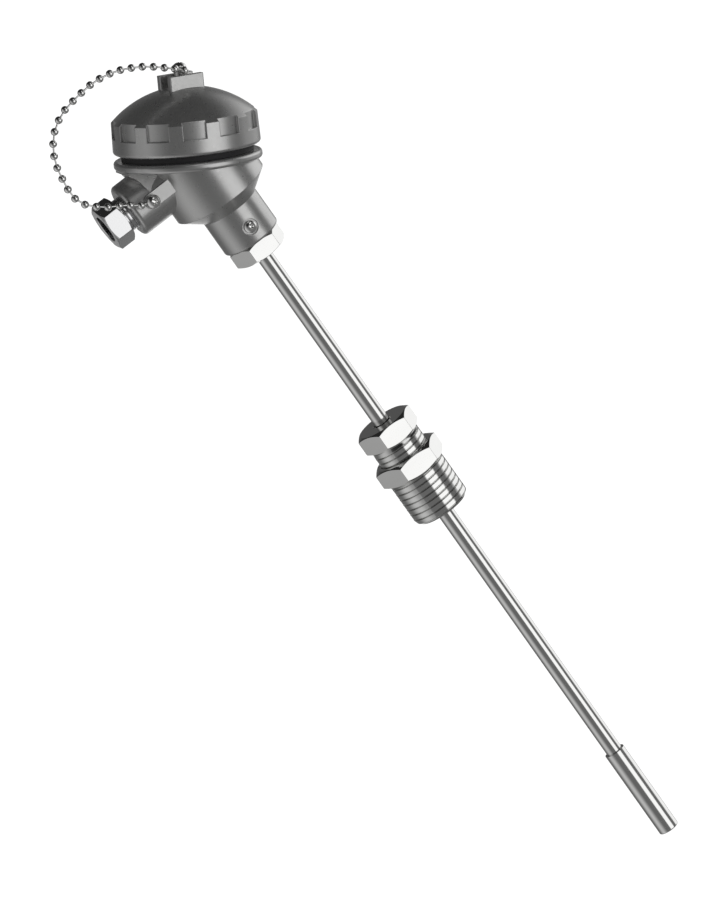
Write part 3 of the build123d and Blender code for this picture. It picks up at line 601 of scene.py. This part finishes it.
def material_of(name):
    """One of the finishes, made when it is first asked for."""
    found = bpy.data.materials.get(name)
    if found:
        return found
    if name == "wound_element":
        return wound_material(name)
    look = bpy.context.scene.probe_finishes
    drawn, turned = look.steel_roughness, look.turned_roughness
    cast, plated = look.casting_roughness, look.plating_roughness
    along, across, even = (1, 1, 0.05), (1, 1, 4), (1, 1, 1)
    # Colour, metallic, roughness, grain, relief, stretch, variation and rounding of the edges
    looks = {
        "drawn_steel": (look.steel, 1, drawn, 1400, 0.6e-6, along, 0.03, 0),
        "turned_steel": (look.steel, 1, turned, 900, 0.8e-6, across, 0.03, 0),
        "cast_metal": (look.casting, 0.9, cast, 900, 1.6e-6, even, 0.04, 0.3 * MM),
        "bright_plating": (look.plating, 1, plated, 1500, 1e-6, even, 0.03, 0),
        "gland_metal": (look.steel, 1, 0.14, 800, 1.5e-6, even, 0.03, 0),
        "seal_rubber": (look.rubber, 0, 0.62, 2200, 8e-6, even, 0.2, 0.2 * MM),
        "block_ceramic": (look.ceramic, 0, 0.3, 700, 6e-6, even, 0.04, 0.25 * MM),
        "clamp_brass": (look.brass, 1, 0.25, 900, 3e-6, even, 0.06, 0.2 * MM),
        "bare_wire": (look.nickel, 1, 0.3, 1600, 2e-6, even, 0.06, 0),
        "pressed_powder": (look.mineral, 0, 0.8, 2600, 12e-6, even, 0.08, 0),
    }
    return finish(name, *looks[name])


def wound_material(name):
    """Fine platinum wire wound on a ceramic rod."""
    look = bpy.context.scene.probe_finishes
    material = finish(name, look.ceramic, 0, 0.35, 900, 4e-6)
    tree = material.node_tree
    nodes = Nodes(tree)
    shader = tree.nodes["Principled BSDF"]
    where = nodes.add("ShaderNodeTexCoord").outputs["Object"]
    height = nodes.add("ShaderNodeSeparateXYZ", {"Vector": where}).outputs["Z"]
    wave = nodes.math("SINE", nodes.math("MULTIPLY", height, 2 * math.pi / WOUND_PITCH))
    wire = nodes.edge(wave, 0.1, 0.5)
    colour = nodes.ramp(wire, tuple(look.ceramic), tuple(look.nickel))
    tree.links.new(colour, shader.inputs["Base Color"])
    tree.links.new(wire, shader.inputs["Metallic"])
    return material


class PROBE_OT_stem(bpy.types.Operator):
    """Sheath tube and the closed sleeve over its tip"""

    bl_idname = "probe.stem"
    bl_label = "Stem"

    def execute(self, context):
        bearings = evenly(TUBE_COLUMNS)
        matrix, tube_length, radius, _ = place_of("sheath", STEM_AXIS)
        bore = radius - SHEATH_WALL
        mesh = bmesh.new()
        outside = [(radius, tube_length * i / TUBE_STEPS) for i in range(TUBE_STEPS + 1)]
        outside[0] = (radius - SHEATH_EDGE, 0)
        outside.insert(1, (radius, SHEATH_EDGE))
        inside = [(bore, tube_length), (bore, 0)]
        skin(mesh, lathe(bearings, outside + inside), closed=True)
        sheath = shaped(mesh, "sheath_tube", matrix)
        stand_in(sheath, "probe", "stainless", material_of("drawn_steel"), "sheath")

        matrix, sleeve_length, radius, _ = place_of("tip_sleeve", STEM_AXIS)
        nose = SLEEVE_NOSE_R
        corner = [
            (radius - nose + nose * math.sin(turn), nose - nose * math.cos(turn))
            for turn in map(math.radians, range(0, 91, 15))
        ]
        outline = [(0, 0), (radius / 2, 0), *corner]
        outline += [(radius, sleeve_length * i / SLEEVE_STEPS) for i in range(1, SLEEVE_STEPS)]
        outline += [
            (radius, sleeve_length - SLEEVE_EDGE),
            (radius - SLEEVE_EDGE, sleeve_length),
            (SLEEVE_BORE_R, sleeve_length),
            (SLEEVE_BORE_R, SLEEVE_FLOOR),
            (0, SLEEVE_FLOOR),
        ]
        mesh = bmesh.new()
        skin(mesh, lathe(bearings, outline))
        sleeve = shaped(mesh, "closed_tip_sleeve", matrix)
        stand_in(sleeve, "probe", "stainless", material_of("drawn_steel"), "tip_sleeve")
        return {"FINISHED"}


class PROBE_OT_fitting(bpy.types.Operator):
    """Process fitting: hexagon, pipe thread and ferrule socket"""

    bl_idname = "probe.fitting"
    bl_label = "Process fitting"

    def execute(self, context):
        nuts, threads = context.scene.probe_nuts, context.scene.probe_threads
        _, _, bearings, radii, face_r = nut_shape(
            "fitting_body", STEM_AXIS, nuts, nuts.face_share
        )
        low, high = (point.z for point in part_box("fitting_body"))
        depth, pitch = threads.pipe_depth, threads.pipe_pitch
        mesh = bmesh.new()
        end_r, root = thread(
            mesh, bearings, PIPE_CREST_R, depth, low, 0, pitch, PIPE_END_STEP
        )
        rings = [ring(bearings, root, 0)]
        rings += hex_rings(bearings, radii, face_r, 0, high, nuts.edge)
        inside = in_mm(FITTING_INSIDE)
        rings += mouth(bearings, inside[0][0], high, nuts.edge)
        rings += lathe(bearings, inside[1:])
        rings.append(ring(bearings, end_r, low))
        skin(mesh, rings)
        fitting = shaped(mesh, "threaded_fitting")
        stand_in(fitting, "fitting", "stainless", material_of("turned_steel"), "fitting_body")
        return {"FINISHED"}


class PROBE_OT_bolt(bpy.types.Operator):
    """Hollow compression bolt with its hexagon and thread"""

    bl_idname = "probe.bolt"
    bl_label = "Compression bolt"

    def execute(self, context):
        nuts, threads = context.scene.probe_nuts, context.scene.probe_threads
        _, _, bearings, radii, face_r = nut_shape(
            "compression_nut", STEM_AXIS, nuts, nuts.face_share
        )
        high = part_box("compression_nut")[1].z
        under = high - HEX_HEIGHT
        depth, pitch = threads.bolt_depth, threads.bolt_pitch
        outside, inside = in_mm(BOLT_OUTSIDE), in_mm(BOLT_INSIDE)
        low = outside[0][1]
        mesh = bmesh.new()
        end_r, root = thread(
            mesh, bearings, BOLT_CREST_R, depth, low, under, pitch, BOLT_END_STEP
        )
        rings = [ring(bearings, root, under)]
        rings += hex_rings(bearings, radii, face_r, under, high, nuts.edge)
        rings += mouth(bearings, inside[-1][0], high, nuts.edge)
        rings += lathe(bearings, inside[-2::-1] + outside[::-1])
        rings.append(ring(bearings, end_r, low))
        skin(mesh, rings)
        bolt = shaped(mesh, "compression_bolt")
        stand_in(bolt, "bolt", "stainless", material_of("turned_steel"), "compression_nut")
        return {"FINISHED"}


class PROBE_OT_neck_nut(bpy.types.Operator):
    """Neck nut, with the nipple that screws into the head"""

    bl_idname = "probe.neck_nut"
    bl_label = "Neck nut"

    def execute(self, context):
        nuts = context.scene.probe_nuts
        matrix, nut_length, bearings, radii, face_r = nut_shape(
            "neck_nut", STEM_AXIS, nuts, nuts.face_share
        )
        mesh = bmesh.new()
        rings = [ring(bearings, NECK_BORE_R, 0)]
        rings += hex_rings(bearings, radii, face_r, 0, NECK_HEX_HEIGHT, nuts.edge)
        rings.append(ring(bearings, NIPPLE_R, NECK_HEX_HEIGHT))
        rings.append(ring(bearings, NIPPLE_R, nut_length))
        rings.append(ring(bearings, NECK_BORE_R, nut_length))
        skin(mesh, rings, closed=True)
        nut = shaped(mesh, "neck_hexagon", matrix)
        stand_in(nut, "probe", "stainless", material_of("turned_steel"), "neck_nut")
        return {"FINISHED"}


class PROBE_OT_gland(bpy.types.Operator):
    """Cable gland: threaded shell and clamping nut"""

    bl_idname = "probe.gland"
    bl_label = "Cable gland"

    def execute(self, context):
        nuts, threads = context.scene.probe_nuts, context.scene.probe_threads
        matrix, shell_length, crest, _ = place_of("gland_body", GLAND_AXIS)
        bearings = evenly(GLAND_COLUMNS)
        depth, pitch = threads.gland_depth, threads.gland_pitch
        mesh = bmesh.new()
        end_r, root = thread(
            mesh, bearings, crest, depth, 0, shell_length, pitch, GLAND_END_STEP
        )
        inside = [
            (root, shell_length),
            (GLAND_SHELL_R, shell_length),
            (GLAND_SHELL_R, GLAND_SHOULDER),
            (GLAND_SHOULDER_R, GLAND_SHOULDER),
            (GLAND_SHOULDER_R, 0),
            (end_r, 0),
        ]
        skin(mesh, lathe(bearings, inside))
        shell = shaped(mesh, "gland_shell", matrix)
        stand_in(shell, "probe", "gland_metal", material_of("gland_metal"), "gland_body")

        matrix, nut_length, bearings, radii, face_r = nut_shape(
            "gland_nut", GLAND_AXIS, nuts, nuts.gland_face_share, nuts.gland_turn
        )
        edge = nuts.edge
        lip = nut_length - GLAND_LIP
        mesh = bmesh.new()
        rings = [ring(bearings, GLAND_BORE_R + edge, 0)]
        rings += hex_rings(bearings, radii, face_r, 0, nut_length, edge)
        rings += mouth(bearings, GLAND_MOUTH_R, nut_length, 2 * edge)
        inside = [(GLAND_MOUTH_R, lip), (GLAND_BORE_R, lip), (GLAND_BORE_R, edge)]
        rings += lathe(bearings, inside)
        skin(mesh, rings, closed=True)
        nut = shaped(mesh, "gland_hexagon", matrix)
        stand_in(nut, "gland_clamp", "gland_metal", material_of("gland_metal"), "gland_nut")
        return {"FINISHED"}


def cross_cutter(head_r, head_height, sizes):
    """A tapered cross that cuts the recess of a screw, open above the head."""
    cutter = bmesh.new()
    rows = []
    for height, reach_share, width_share in (
        (head_height * (1 - sizes.recess_depth), *RECESS_FLOOR),
        (head_height * CUTTER_HEIGHT, 1.0, 1.0),
    ):
        reach = head_r * sizes.recess_length * reach_share
        wide = head_r * sizes.recess_width * width_share
        quarter = ((reach, -wide), (reach, wide), (wide, wide))
        row = []
        for side in range(4):
            turn = Matrix.Rotation(side * math.pi / 2 + sizes.recess_turn, 3, "Z")
            row += [turn @ Vector((x, y, height)) for x, y in quarter]
        rows.append(row)
    skin(cutter, rows)
    cutter.verts.ensure_lookup_table()
    count = len(rows[0])
    cutter.faces.new([cutter.verts[i] for i in range(count)])
    cutter.faces.new([cutter.verts[i] for i in range(count, 2 * count)])
    return shaped(cutter, "recess_cutter")


class PROBE_OT_screws(bpy.types.Operator):
    """Pan-head screws with a cross recess"""

    bl_idname = "probe.screws"
    bl_label = "Screws"

    screws = {
        "neck_screw": (FRONT, "probe"),
        "boss_chain_screw": (FRONT, "probe"),
        "cap_chain_screw": (CAP_AXIS, "lid"),
        **{f"terminal_screw_{n}": (CAP_AXIS, "probe") for n in range(1, 5)},
        **{f"block_screw_{n}": (CAP_AXIS, "probe") for n in range(1, 3)},
    }

    def execute(self, context):
        for node, (axis, body) in self.screws.items():
            self.make_screw(node, axis, body, context.scene.probe_screws)
        return {"FINISHED"}

    def make_screw(self, node, axis, body, sizes):
        """One screw in the place of its CAD node."""
        matrix, screw_length, head_r, _ = place_of(node, axis)
        turn = matrix.to_3x3().transposed()
        vertices = frame["nodes"][node].data.vertices
        points = [turn @ (vertex.co - matrix.translation) for vertex in vertices]
        seat = min(point.z for point in points if point.to_2d().length > head_r * 0.98)
        shank_r = max(point.to_2d().length for point in points if point.z < seat / 2)
        head_height = screw_length - seat
        edge_height = head_height * sizes.edge_share
        crown = head_height - edge_height
        ball = (head_r**2 + crown**2) / (2 * crown)
        arc = math.asin(head_r / ball)
        outline = [
            (0, -seat),
            (shank_r * SHANK_POINT[0], -seat),
            (shank_r, -seat + shank_r * SHANK_POINT[1]),
            (shank_r, 0),
            (head_r * HEAD_FOOT[0], 0),
            (head_r, head_height * HEAD_FOOT[1]),
            (head_r, edge_height * HEAD_SIDE),
        ]
        for i in range(DOME_STEPS + 1):
            bearing = arc * (1 - i / DOME_STEPS)
            reach = ball * math.sin(bearing) * (HEAD_RIM if i == 0 else 1)
            outline.append((reach, head_height - ball + ball * math.cos(bearing)))
        mesh = bmesh.new()
        skin(mesh, lathe(evenly(SCREW_COLUMNS), outline))
        head = shaped(mesh, node + "_piece")
        cutter = cross_cutter(head_r, head_height, sizes)
        cut = head.modifiers.new("cross_recess", "BOOLEAN")
        cut.operation = "DIFFERENCE"
        cut.solver = "EXACT"
        cut.object = cutter
        head.modifiers.move(1, 0)
        carved = evaluated_mesh(head)
        head.modifiers.clear()
        head.data = carved
        bpy.data.objects.remove(cutter)
        smooth(head, CREASE)
        head.matrix_world = matrix @ Matrix.Translation((0, 0, seat))
        stand_in(head, body, "plated_screws", material_of("bright_plating"), node)


def route_points():
    """The chain's line from the cap's eye to the boss's eye, as many points on a smooth curve."""
    eyes = {}
    for node, axis in (("cap_chain_eye", CAP_AXIS), ("boss_chain_eye", FRONT)):
        matrix, thickness, _, _ = place_of(node, axis)
        eyes[node] = matrix.translation + axis * thickness / 2
    cap_way = CAP_DOWNHILL * math.cos(CAP_BEAD_TURN) + Vector((0, 1, 0)) * math.sin(CAP_BEAD_TURN)
    pad_way = Vector((math.cos(PAD_BEAD_TURN), 0, math.sin(PAD_BEAD_TURN)))
    ends = (
        eyes["cap_chain_eye"] + cap_way * CAP_BEAD_REACH,
        eyes["boss_chain_eye"] + pad_way * PAD_BEAD_REACH,
    )
    knots = [ends[0], *(Vector(point) * MM for point in CHAIN_ROUTE), ends[1]]
    curve = bpy.data.curves.new("chain_line", "CURVE")
    curve.dimensions = "3D"
    curve.resolution_u = CURVE_STEPS
    spline = curve.splines.new("BEZIER")
    spline.bezier_points.add(len(knots) - 1)
    for point, knot in zip(spline.bezier_points, knots):
        point.co = knot
        point.handle_left_type = point.handle_right_type = "AUTO"
    holder = new_object("chain_line", curve)
    line = evaluated_mesh(holder)
    points = [vertex.co.copy() for vertex in line.vertices]
    bpy.data.objects.remove(holder)
    bpy.data.meshes.remove(line)
    return points, ends, (cap_way, pad_way)


def equal_steps(points, pitch):
    """Points along a line, at equal distances close to a pitch, with both ends kept."""
    gaps = [(b - a).length for a, b in zip(points, points[1:])]
    total = sum(gaps)
    count = round(total / pitch)
    stops, travelled, i = [points[0]], 0.0, 0
    for n in range(1, count):
        target = total * n / count
        while travelled + gaps[i] < target:
            travelled += gaps[i]
            i += 1
        stops.append(points[i].lerp(points[i + 1], (target - travelled) / gaps[i]))
    return stops + [points[-1]]


class PROBE_OT_chain(bpy.types.Operator):
    """Bead chain and the two eyes that tie it to its screws"""

    bl_idname = "probe.chain"
    bl_label = "Bead chain"

    def execute(self, context):
        sizes = context.scene.probe_chain
        points, ends, ways = route_points()
        stops = equal_steps(points, BEAD_PITCH)
        mesh = bmesh.new()
        for i, stop in enumerate(stops):
            ahead = stops[min(i + 1, len(stops) - 1)] - stops[max(i - 1, 0)]
            self.add_bead(mesh, stop, ahead.normalized(), sizes)
        for low, high in zip(stops, stops[1:]):
            self.add_link(mesh, low, high, sizes)
        _, _, eye_r, _ = place_of("cap_chain_eye", CAP_AXIS)
        reach = (CAP_BEAD_REACH, PAD_BEAD_REACH)
        for end, way, distance in zip(ends, ways, reach):
            self.add_link(mesh, end, end - way * (distance - eye_r - LINK_GAP), sizes)
        chain = shaped(mesh, "chain_of_beads", crease=50)
        chain.data.materials.append(material_of("bright_plating"))
        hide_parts("bead_chain")
        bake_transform(chain)
        self.make_eye("cap_chain_eye", CAP_AXIS, "chain_end")
        self.make_eye("boss_chain_eye", FRONT, "probe")
        return {"FINISHED"}

    def add_bead(self, mesh, centre, way, sizes):
        """A hollow bead with a small rim round each hole."""
        radius, hole = sizes.bead / 2, sizes.hole / 2
        start = math.asin(hole / radius)
        outline = [
            (sizes.link / 2 * BEAD_INSIDE[0], -radius * BEAD_INSIDE[1]),
            (hole * BEAD_RIM[0], -radius * math.cos(start) * BEAD_RIM[1]),
        ]
        for i in range(BEAD_STEPS + 1):
            bearing = start + (math.pi - 2 * start) * i / BEAD_STEPS
            outline.append((radius * math.sin(bearing), -radius * math.cos(bearing)))
        outline += [(r, -z) for r, z in outline[1::-1]]
        skin(mesh, along(centre, way, lathe(evenly(BEAD_COLUMNS), outline)), closed=True)

    def add_link(self, mesh, low, high, sizes):
        """A thin link between two points."""
        way = high - low
        radius = sizes.link / 2
        outline = [(0, 0), (radius, 0), (radius, way.length), (0, way.length)]
        skin(mesh, along(low, way, lathe(evenly(LINK_COLUMNS), outline)))

    def make_eye(self, node, axis, body):
        """A flat ring with rounded edges under a chain screw."""
        matrix, thickness, radius, _ = place_of(node, axis)
        middle, half, flat = (radius + EYE_HOLE_R) / 2, (radius - EYE_HOLE_R) / 2, thickness / 2
        section = []
        for bearing in evenly(EYE_STEPS):
            wide = math.copysign(abs(math.cos(bearing)) ** 0.5, math.cos(bearing))
            tall = math.copysign(abs(math.sin(bearing)) ** 0.5, math.sin(bearing))
            section.append((middle + half * wide, flat + flat * tall))
        mesh = bmesh.new()
        skin(mesh, lathe(evenly(EYE_COLUMNS), section), closed=True)
        eye = shaped(mesh, node + "_ring", matrix, crease=60)
        stand_in(eye, body, "plated_chain", material_of("bright_plating"), node)


class PROBE_OT_web(bpy.types.Operator):
    """Sloped sides of the web that joins the flange to the cable boss"""

    bl_idname = "probe.web"
    bl_label = "Web"

    def execute(self, context):
        outline = [HEAD_ORIGIN - CAP_DOWNHILL * out + CAP_AXIS * up for out, up in WEB_EDGE]
        outline += [Vector((x, 0, z)) for x, z in WEB_FOOT]
        mesh = bmesh.new()
        sides = []
        for side in (-1, 1):
            row = []
            for point in outline:
                below = (FLANGE_UNDERSIDE - (point - HEAD_ORIGIN).dot(CAP_AXIS)) / CAP_AXIS.z
                wide = WEB_HALF_WIDTH + WEB_SLOPE * below
                row.append(mesh.verts.new((point + Vector((0, side * wide, 0))) * MM))
            sides.append(row)
        for i in range(len(outline)):
            j = (i + 1) % len(outline)
            mesh.faces.new((sides[0][i], sides[0][j], sides[1][j], sides[1][i]))
        for row in sides:
            mesh.faces.new(row)
        web = shaped(mesh, "boss_web")
        web.data.materials.append(material_of("cast_metal"))
        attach(web, "probe")
        return {"FINISHED"}


class PROBE_OT_castings(bpy.types.Operator):
    """Cast head and screw cap, with their gasket"""

    bl_idname = "probe.castings"
    bl_label = "Castings"

    coats = {"housing": "cast_metal", "cap": "cast_metal", "cap_gasket": "seal_rubber"}

    def execute(self, context):
        coat(self.coats)
        return {"FINISHED"}


class PROBE_OT_inside(bpy.types.Operator):
    """Terminals, conductors, insulation, ferrule and seals inside the probe"""

    bl_idname = "probe.inside"
    bl_label = "Inner pieces"

    coats = {
        "terminal_block": "block_ceramic",
        "gland_grommet": "seal_rubber",
        "gland_washer": "gland_metal",
        "ferrule": "turned_steel",
        "follower_ring": "turned_steel",
        "insulation_core": "pressed_powder",
        "sensing_element": "wound_element",
        **{f"terminal_clamp_{n}": "clamp_brass" for n in range(1, 5)},
        **{f"lead_wire_{n}": "bare_wire" for n in range(1, 5)},
    }

    def execute(self, context):
        coat(self.coats)
        return {"FINISHED"}


def coat(coats):
    """Give CAD nodes that stay their finishes."""
    for node, material in coats.items():
        for slot in frame["nodes"][node].material_slots:
            slot.material = material_of(material)


class PROBE_OT_studio(bpy.types.Operator):
    """Floor, room, soft lamp and the camera at the picture's angle"""

    bl_idname = "probe.studio"
    bl_label = "Studio"

    # Soft reflectors: (property, bearing from, to, softness, height from, to, softness), in
    # degrees from the front towards +X and from the horizon; the backdrop crosses 180 degrees
    reflectors = (
        ("window", 4, 45, 4, -36, 8, 9),
        ("side", 82, 140, 7, -28, 7, 21),
        ("upper", 14, 58, 8, 30, 46, 6),
        ("back", 158, 186, 8, -52, -8, 8),
        ("back", -202, -174, 8, -52, -8, 8),
        ("bounce", -112, -61, 24, -60, 50, 16),
    )

    def execute(self, context):
        sizes = context.scene.probe_studio
        self.make_camera(sizes)
        self.make_floor(sizes)
        self.make_room(context.scene, sizes)
        self.make_lamp(sizes)
        context.scene.view_settings.view_transform = "Standard"
        return {"FINISHED"}

    def make_camera(self, sizes):
        """The camera looks at the middle of the picture from far away."""
        sine, cosine = math.sin(sizes.azimuth), math.cos(sizes.azimuth)
        right = Vector((cosine, sine, 0))
        level = math.cos(sizes.elevation)
        back = Vector((sine * level, -cosine * level, math.sin(sizes.elevation)))
        up = back.cross(right)
        right_side = right * math.cos(sizes.roll) - up * math.sin(sizes.roll)
        top_side = right * math.sin(sizes.roll) + up * math.cos(sizes.roll)
        middle = right_side * PICTURE_MIDDLE[0] + top_side * PICTURE_MIDDLE[1]
        data = bpy.data.cameras.new("picture_camera")
        data.lens = sizes.lens
        distance = sizes.frame_height * sizes.lens / data.sensor_width
        data.clip_start, data.clip_end = distance / 10, distance * 4
        camera = new_object("picture_camera", data)
        turn = Matrix((right_side, top_side, back)).transposed().to_4x4()
        camera.matrix_world = Matrix.Translation(middle + back * distance) @ turn
        bpy.context.scene.camera = camera

    def make_floor(self, sizes):
        """A wide pale floor well below the probe's tip."""
        mesh = bmesh.new()
        skin(mesh, [ring(evenly(FLOOR_COLUMNS), radius, 0) for radius in FLOOR_RINGS])
        floor = shaped(mesh, "floor", Matrix.Translation((0, 0, -sizes.floor)))
        material = bpy.data.materials.new("pale_floor")
        material.use_nodes = True
        tree = material.node_tree
        nodes = Nodes(tree)
        tree.nodes.remove(tree.nodes["Principled BSDF"])
        ray = nodes.add("ShaderNodeLightPath").outputs["Is Camera Ray"]
        pale = (FLOOR_TONE, FLOOR_TONE, FLOOR_TONE, 1)
        matt = nodes.add("ShaderNodeBsdfDiffuse", {"Color": pale}).outputs["BSDF"]
        lift = nodes.math("MULTIPLY", ray, FLOOR_GLOW)
        glow = nodes.add("ShaderNodeEmission", {"Strength": lift}).outputs["Emission"]
        both = nodes.add("ShaderNodeAddShader", {0: matt, 1: glow}).outputs["Shader"]
        tree.links.new(both, tree.nodes["Material Output"].inputs["Surface"])
        floor.data.materials.append(material)
        floor.visible_glossy = False

    def make_room(self, scene, sizes):
        """The camera sees white; metal mirrors a grey room with soft white reflectors."""
        world = bpy.data.worlds.new("studio_room")
        scene.world = world
        world.use_nodes = True
        world.cycles.sampling_method = "NONE"
        tree = world.node_tree
        nodes = Nodes(tree)
        way = nodes.add("ShaderNodeTexCoord").outputs["Generated"]
        split = nodes.add("ShaderNodeSeparateXYZ", {"Vector": way})
        x, y, z = (split.outputs[axis] for axis in "XYZ")
        degrees = math.degrees(1)
        front = nodes.math("MULTIPLY", y, -1)
        bearing = nodes.math("MULTIPLY", nodes.math("ARCTAN2", x, front), degrees)
        height = nodes.math("MULTIPLY", nodes.math("ARCSINE", z), degrees)
        ceiling = nodes.edge(height, CEILING_FROM, CEILING_TO)
        room = nodes.math("SUBTRACT", ROOM_GREY, nodes.math("MULTIPLY", ceiling, CEILING_FALL))
        for name, left, right, soft_side, low, high, soft_end in self.reflectors:
            across = nodes.between(bearing, left, right, soft_side)
            upright = nodes.between(height, low, high, soft_end)
            shape = nodes.math("MULTIPLY", across, upright)
            light = nodes.math("MULTIPLY", shape, getattr(sizes, name))
            room = nodes.math("ADD", room, light)
        rays = nodes.add("ShaderNodeLightPath").outputs
        mirrored = nodes.math("MAXIMUM", rays["Is Glossy Ray"], rays["Is Transmission Ray"])
        dim = nodes.mix(mirrored, sizes.fill, room)
        seen = nodes.mix(rays["Is Camera Ray"], dim, BACKDROP_WHITE)
        background = tree.nodes["Background"]
        background.inputs["Color"].default_value = (1, 1, 1, 1)
        tree.links.new(seen, background.inputs["Strength"])

    def make_lamp(self, sizes):
        """A large soft lamp above the front left, which metal doesn't mirror."""
        data = bpy.data.lights.new("key_lamp", "AREA")
        data.shape = "DISK"
        data.size = LAMP_SIZE
        data.energy = sizes.key
        lamp = new_object("key_lamp", data)
        lamp.location = Vector(LAMP_PLACE)
        aim = lamp.location - Vector(LAMP_TARGET)
        lamp.rotation_euler = aim.to_track_quat("Z", "Y").to_euler()
        lamp.visible_glossy = False


OPERATORS = (
    PROBE_OT_studio,
    PROBE_OT_stem,
    PROBE_OT_fitting,
    PROBE_OT_bolt,
    PROBE_OT_neck_nut,
    PROBE_OT_gland,
    PROBE_OT_screws,
    PROBE_OT_chain,
    PROBE_OT_web,
    PROBE_OT_castings,
    PROBE_OT_inside,
)


class PROBE_PT_panel(bpy.types.Panel):
    """Sizes, finishes and pieces of the probe"""

    bl_label = "Probe with head"
    bl_idname = "PROBE_PT_panel"
    bl_space_type = "VIEW_3D"
    bl_region_type = "UI"
    bl_category = "Probe"

    def draw(self, context):
        for operator in OPERATORS:
            self.layout.operator(operator.bl_idname)
        for attribute, group in GROUPS.items():
            box = self.layout.box()
            box.label(text=group.__doc__)
            for name in group.__annotations__:
                box.prop(getattr(context.scene, attribute), name)


def register():
    """Register the classes and hang the property groups on the scene."""
    for group in GROUPS.values():
        bpy.utils.register_class(group)
    for attribute, group in GROUPS.items():
        setattr(bpy.types.Scene, attribute, bpy.props.PointerProperty(type=group))
    for operator in OPERATORS:
        bpy.utils.register_class(operator)
    bpy.utils.register_class(PROBE_PT_panel)


def unregister():
    """Take everything off again."""
    bpy.utils.unregister_class(PROBE_PT_panel)
    for operator in reversed(OPERATORS):
        bpy.utils.unregister_class(operator)
    for attribute in GROUPS:
        delattr(bpy.types.Scene, attribute)
    for group in reversed(GROUPS.values()):
        bpy.utils.unregister_class(group)


def main():
    """Build every piece around the frame."""
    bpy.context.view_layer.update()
    register()
    for operator in OPERATORS:
        group, name = operator.bl_idname.split(".")
        getattr(getattr(bpy.ops, group), name)()


if __name__ == "__main__":
    main()
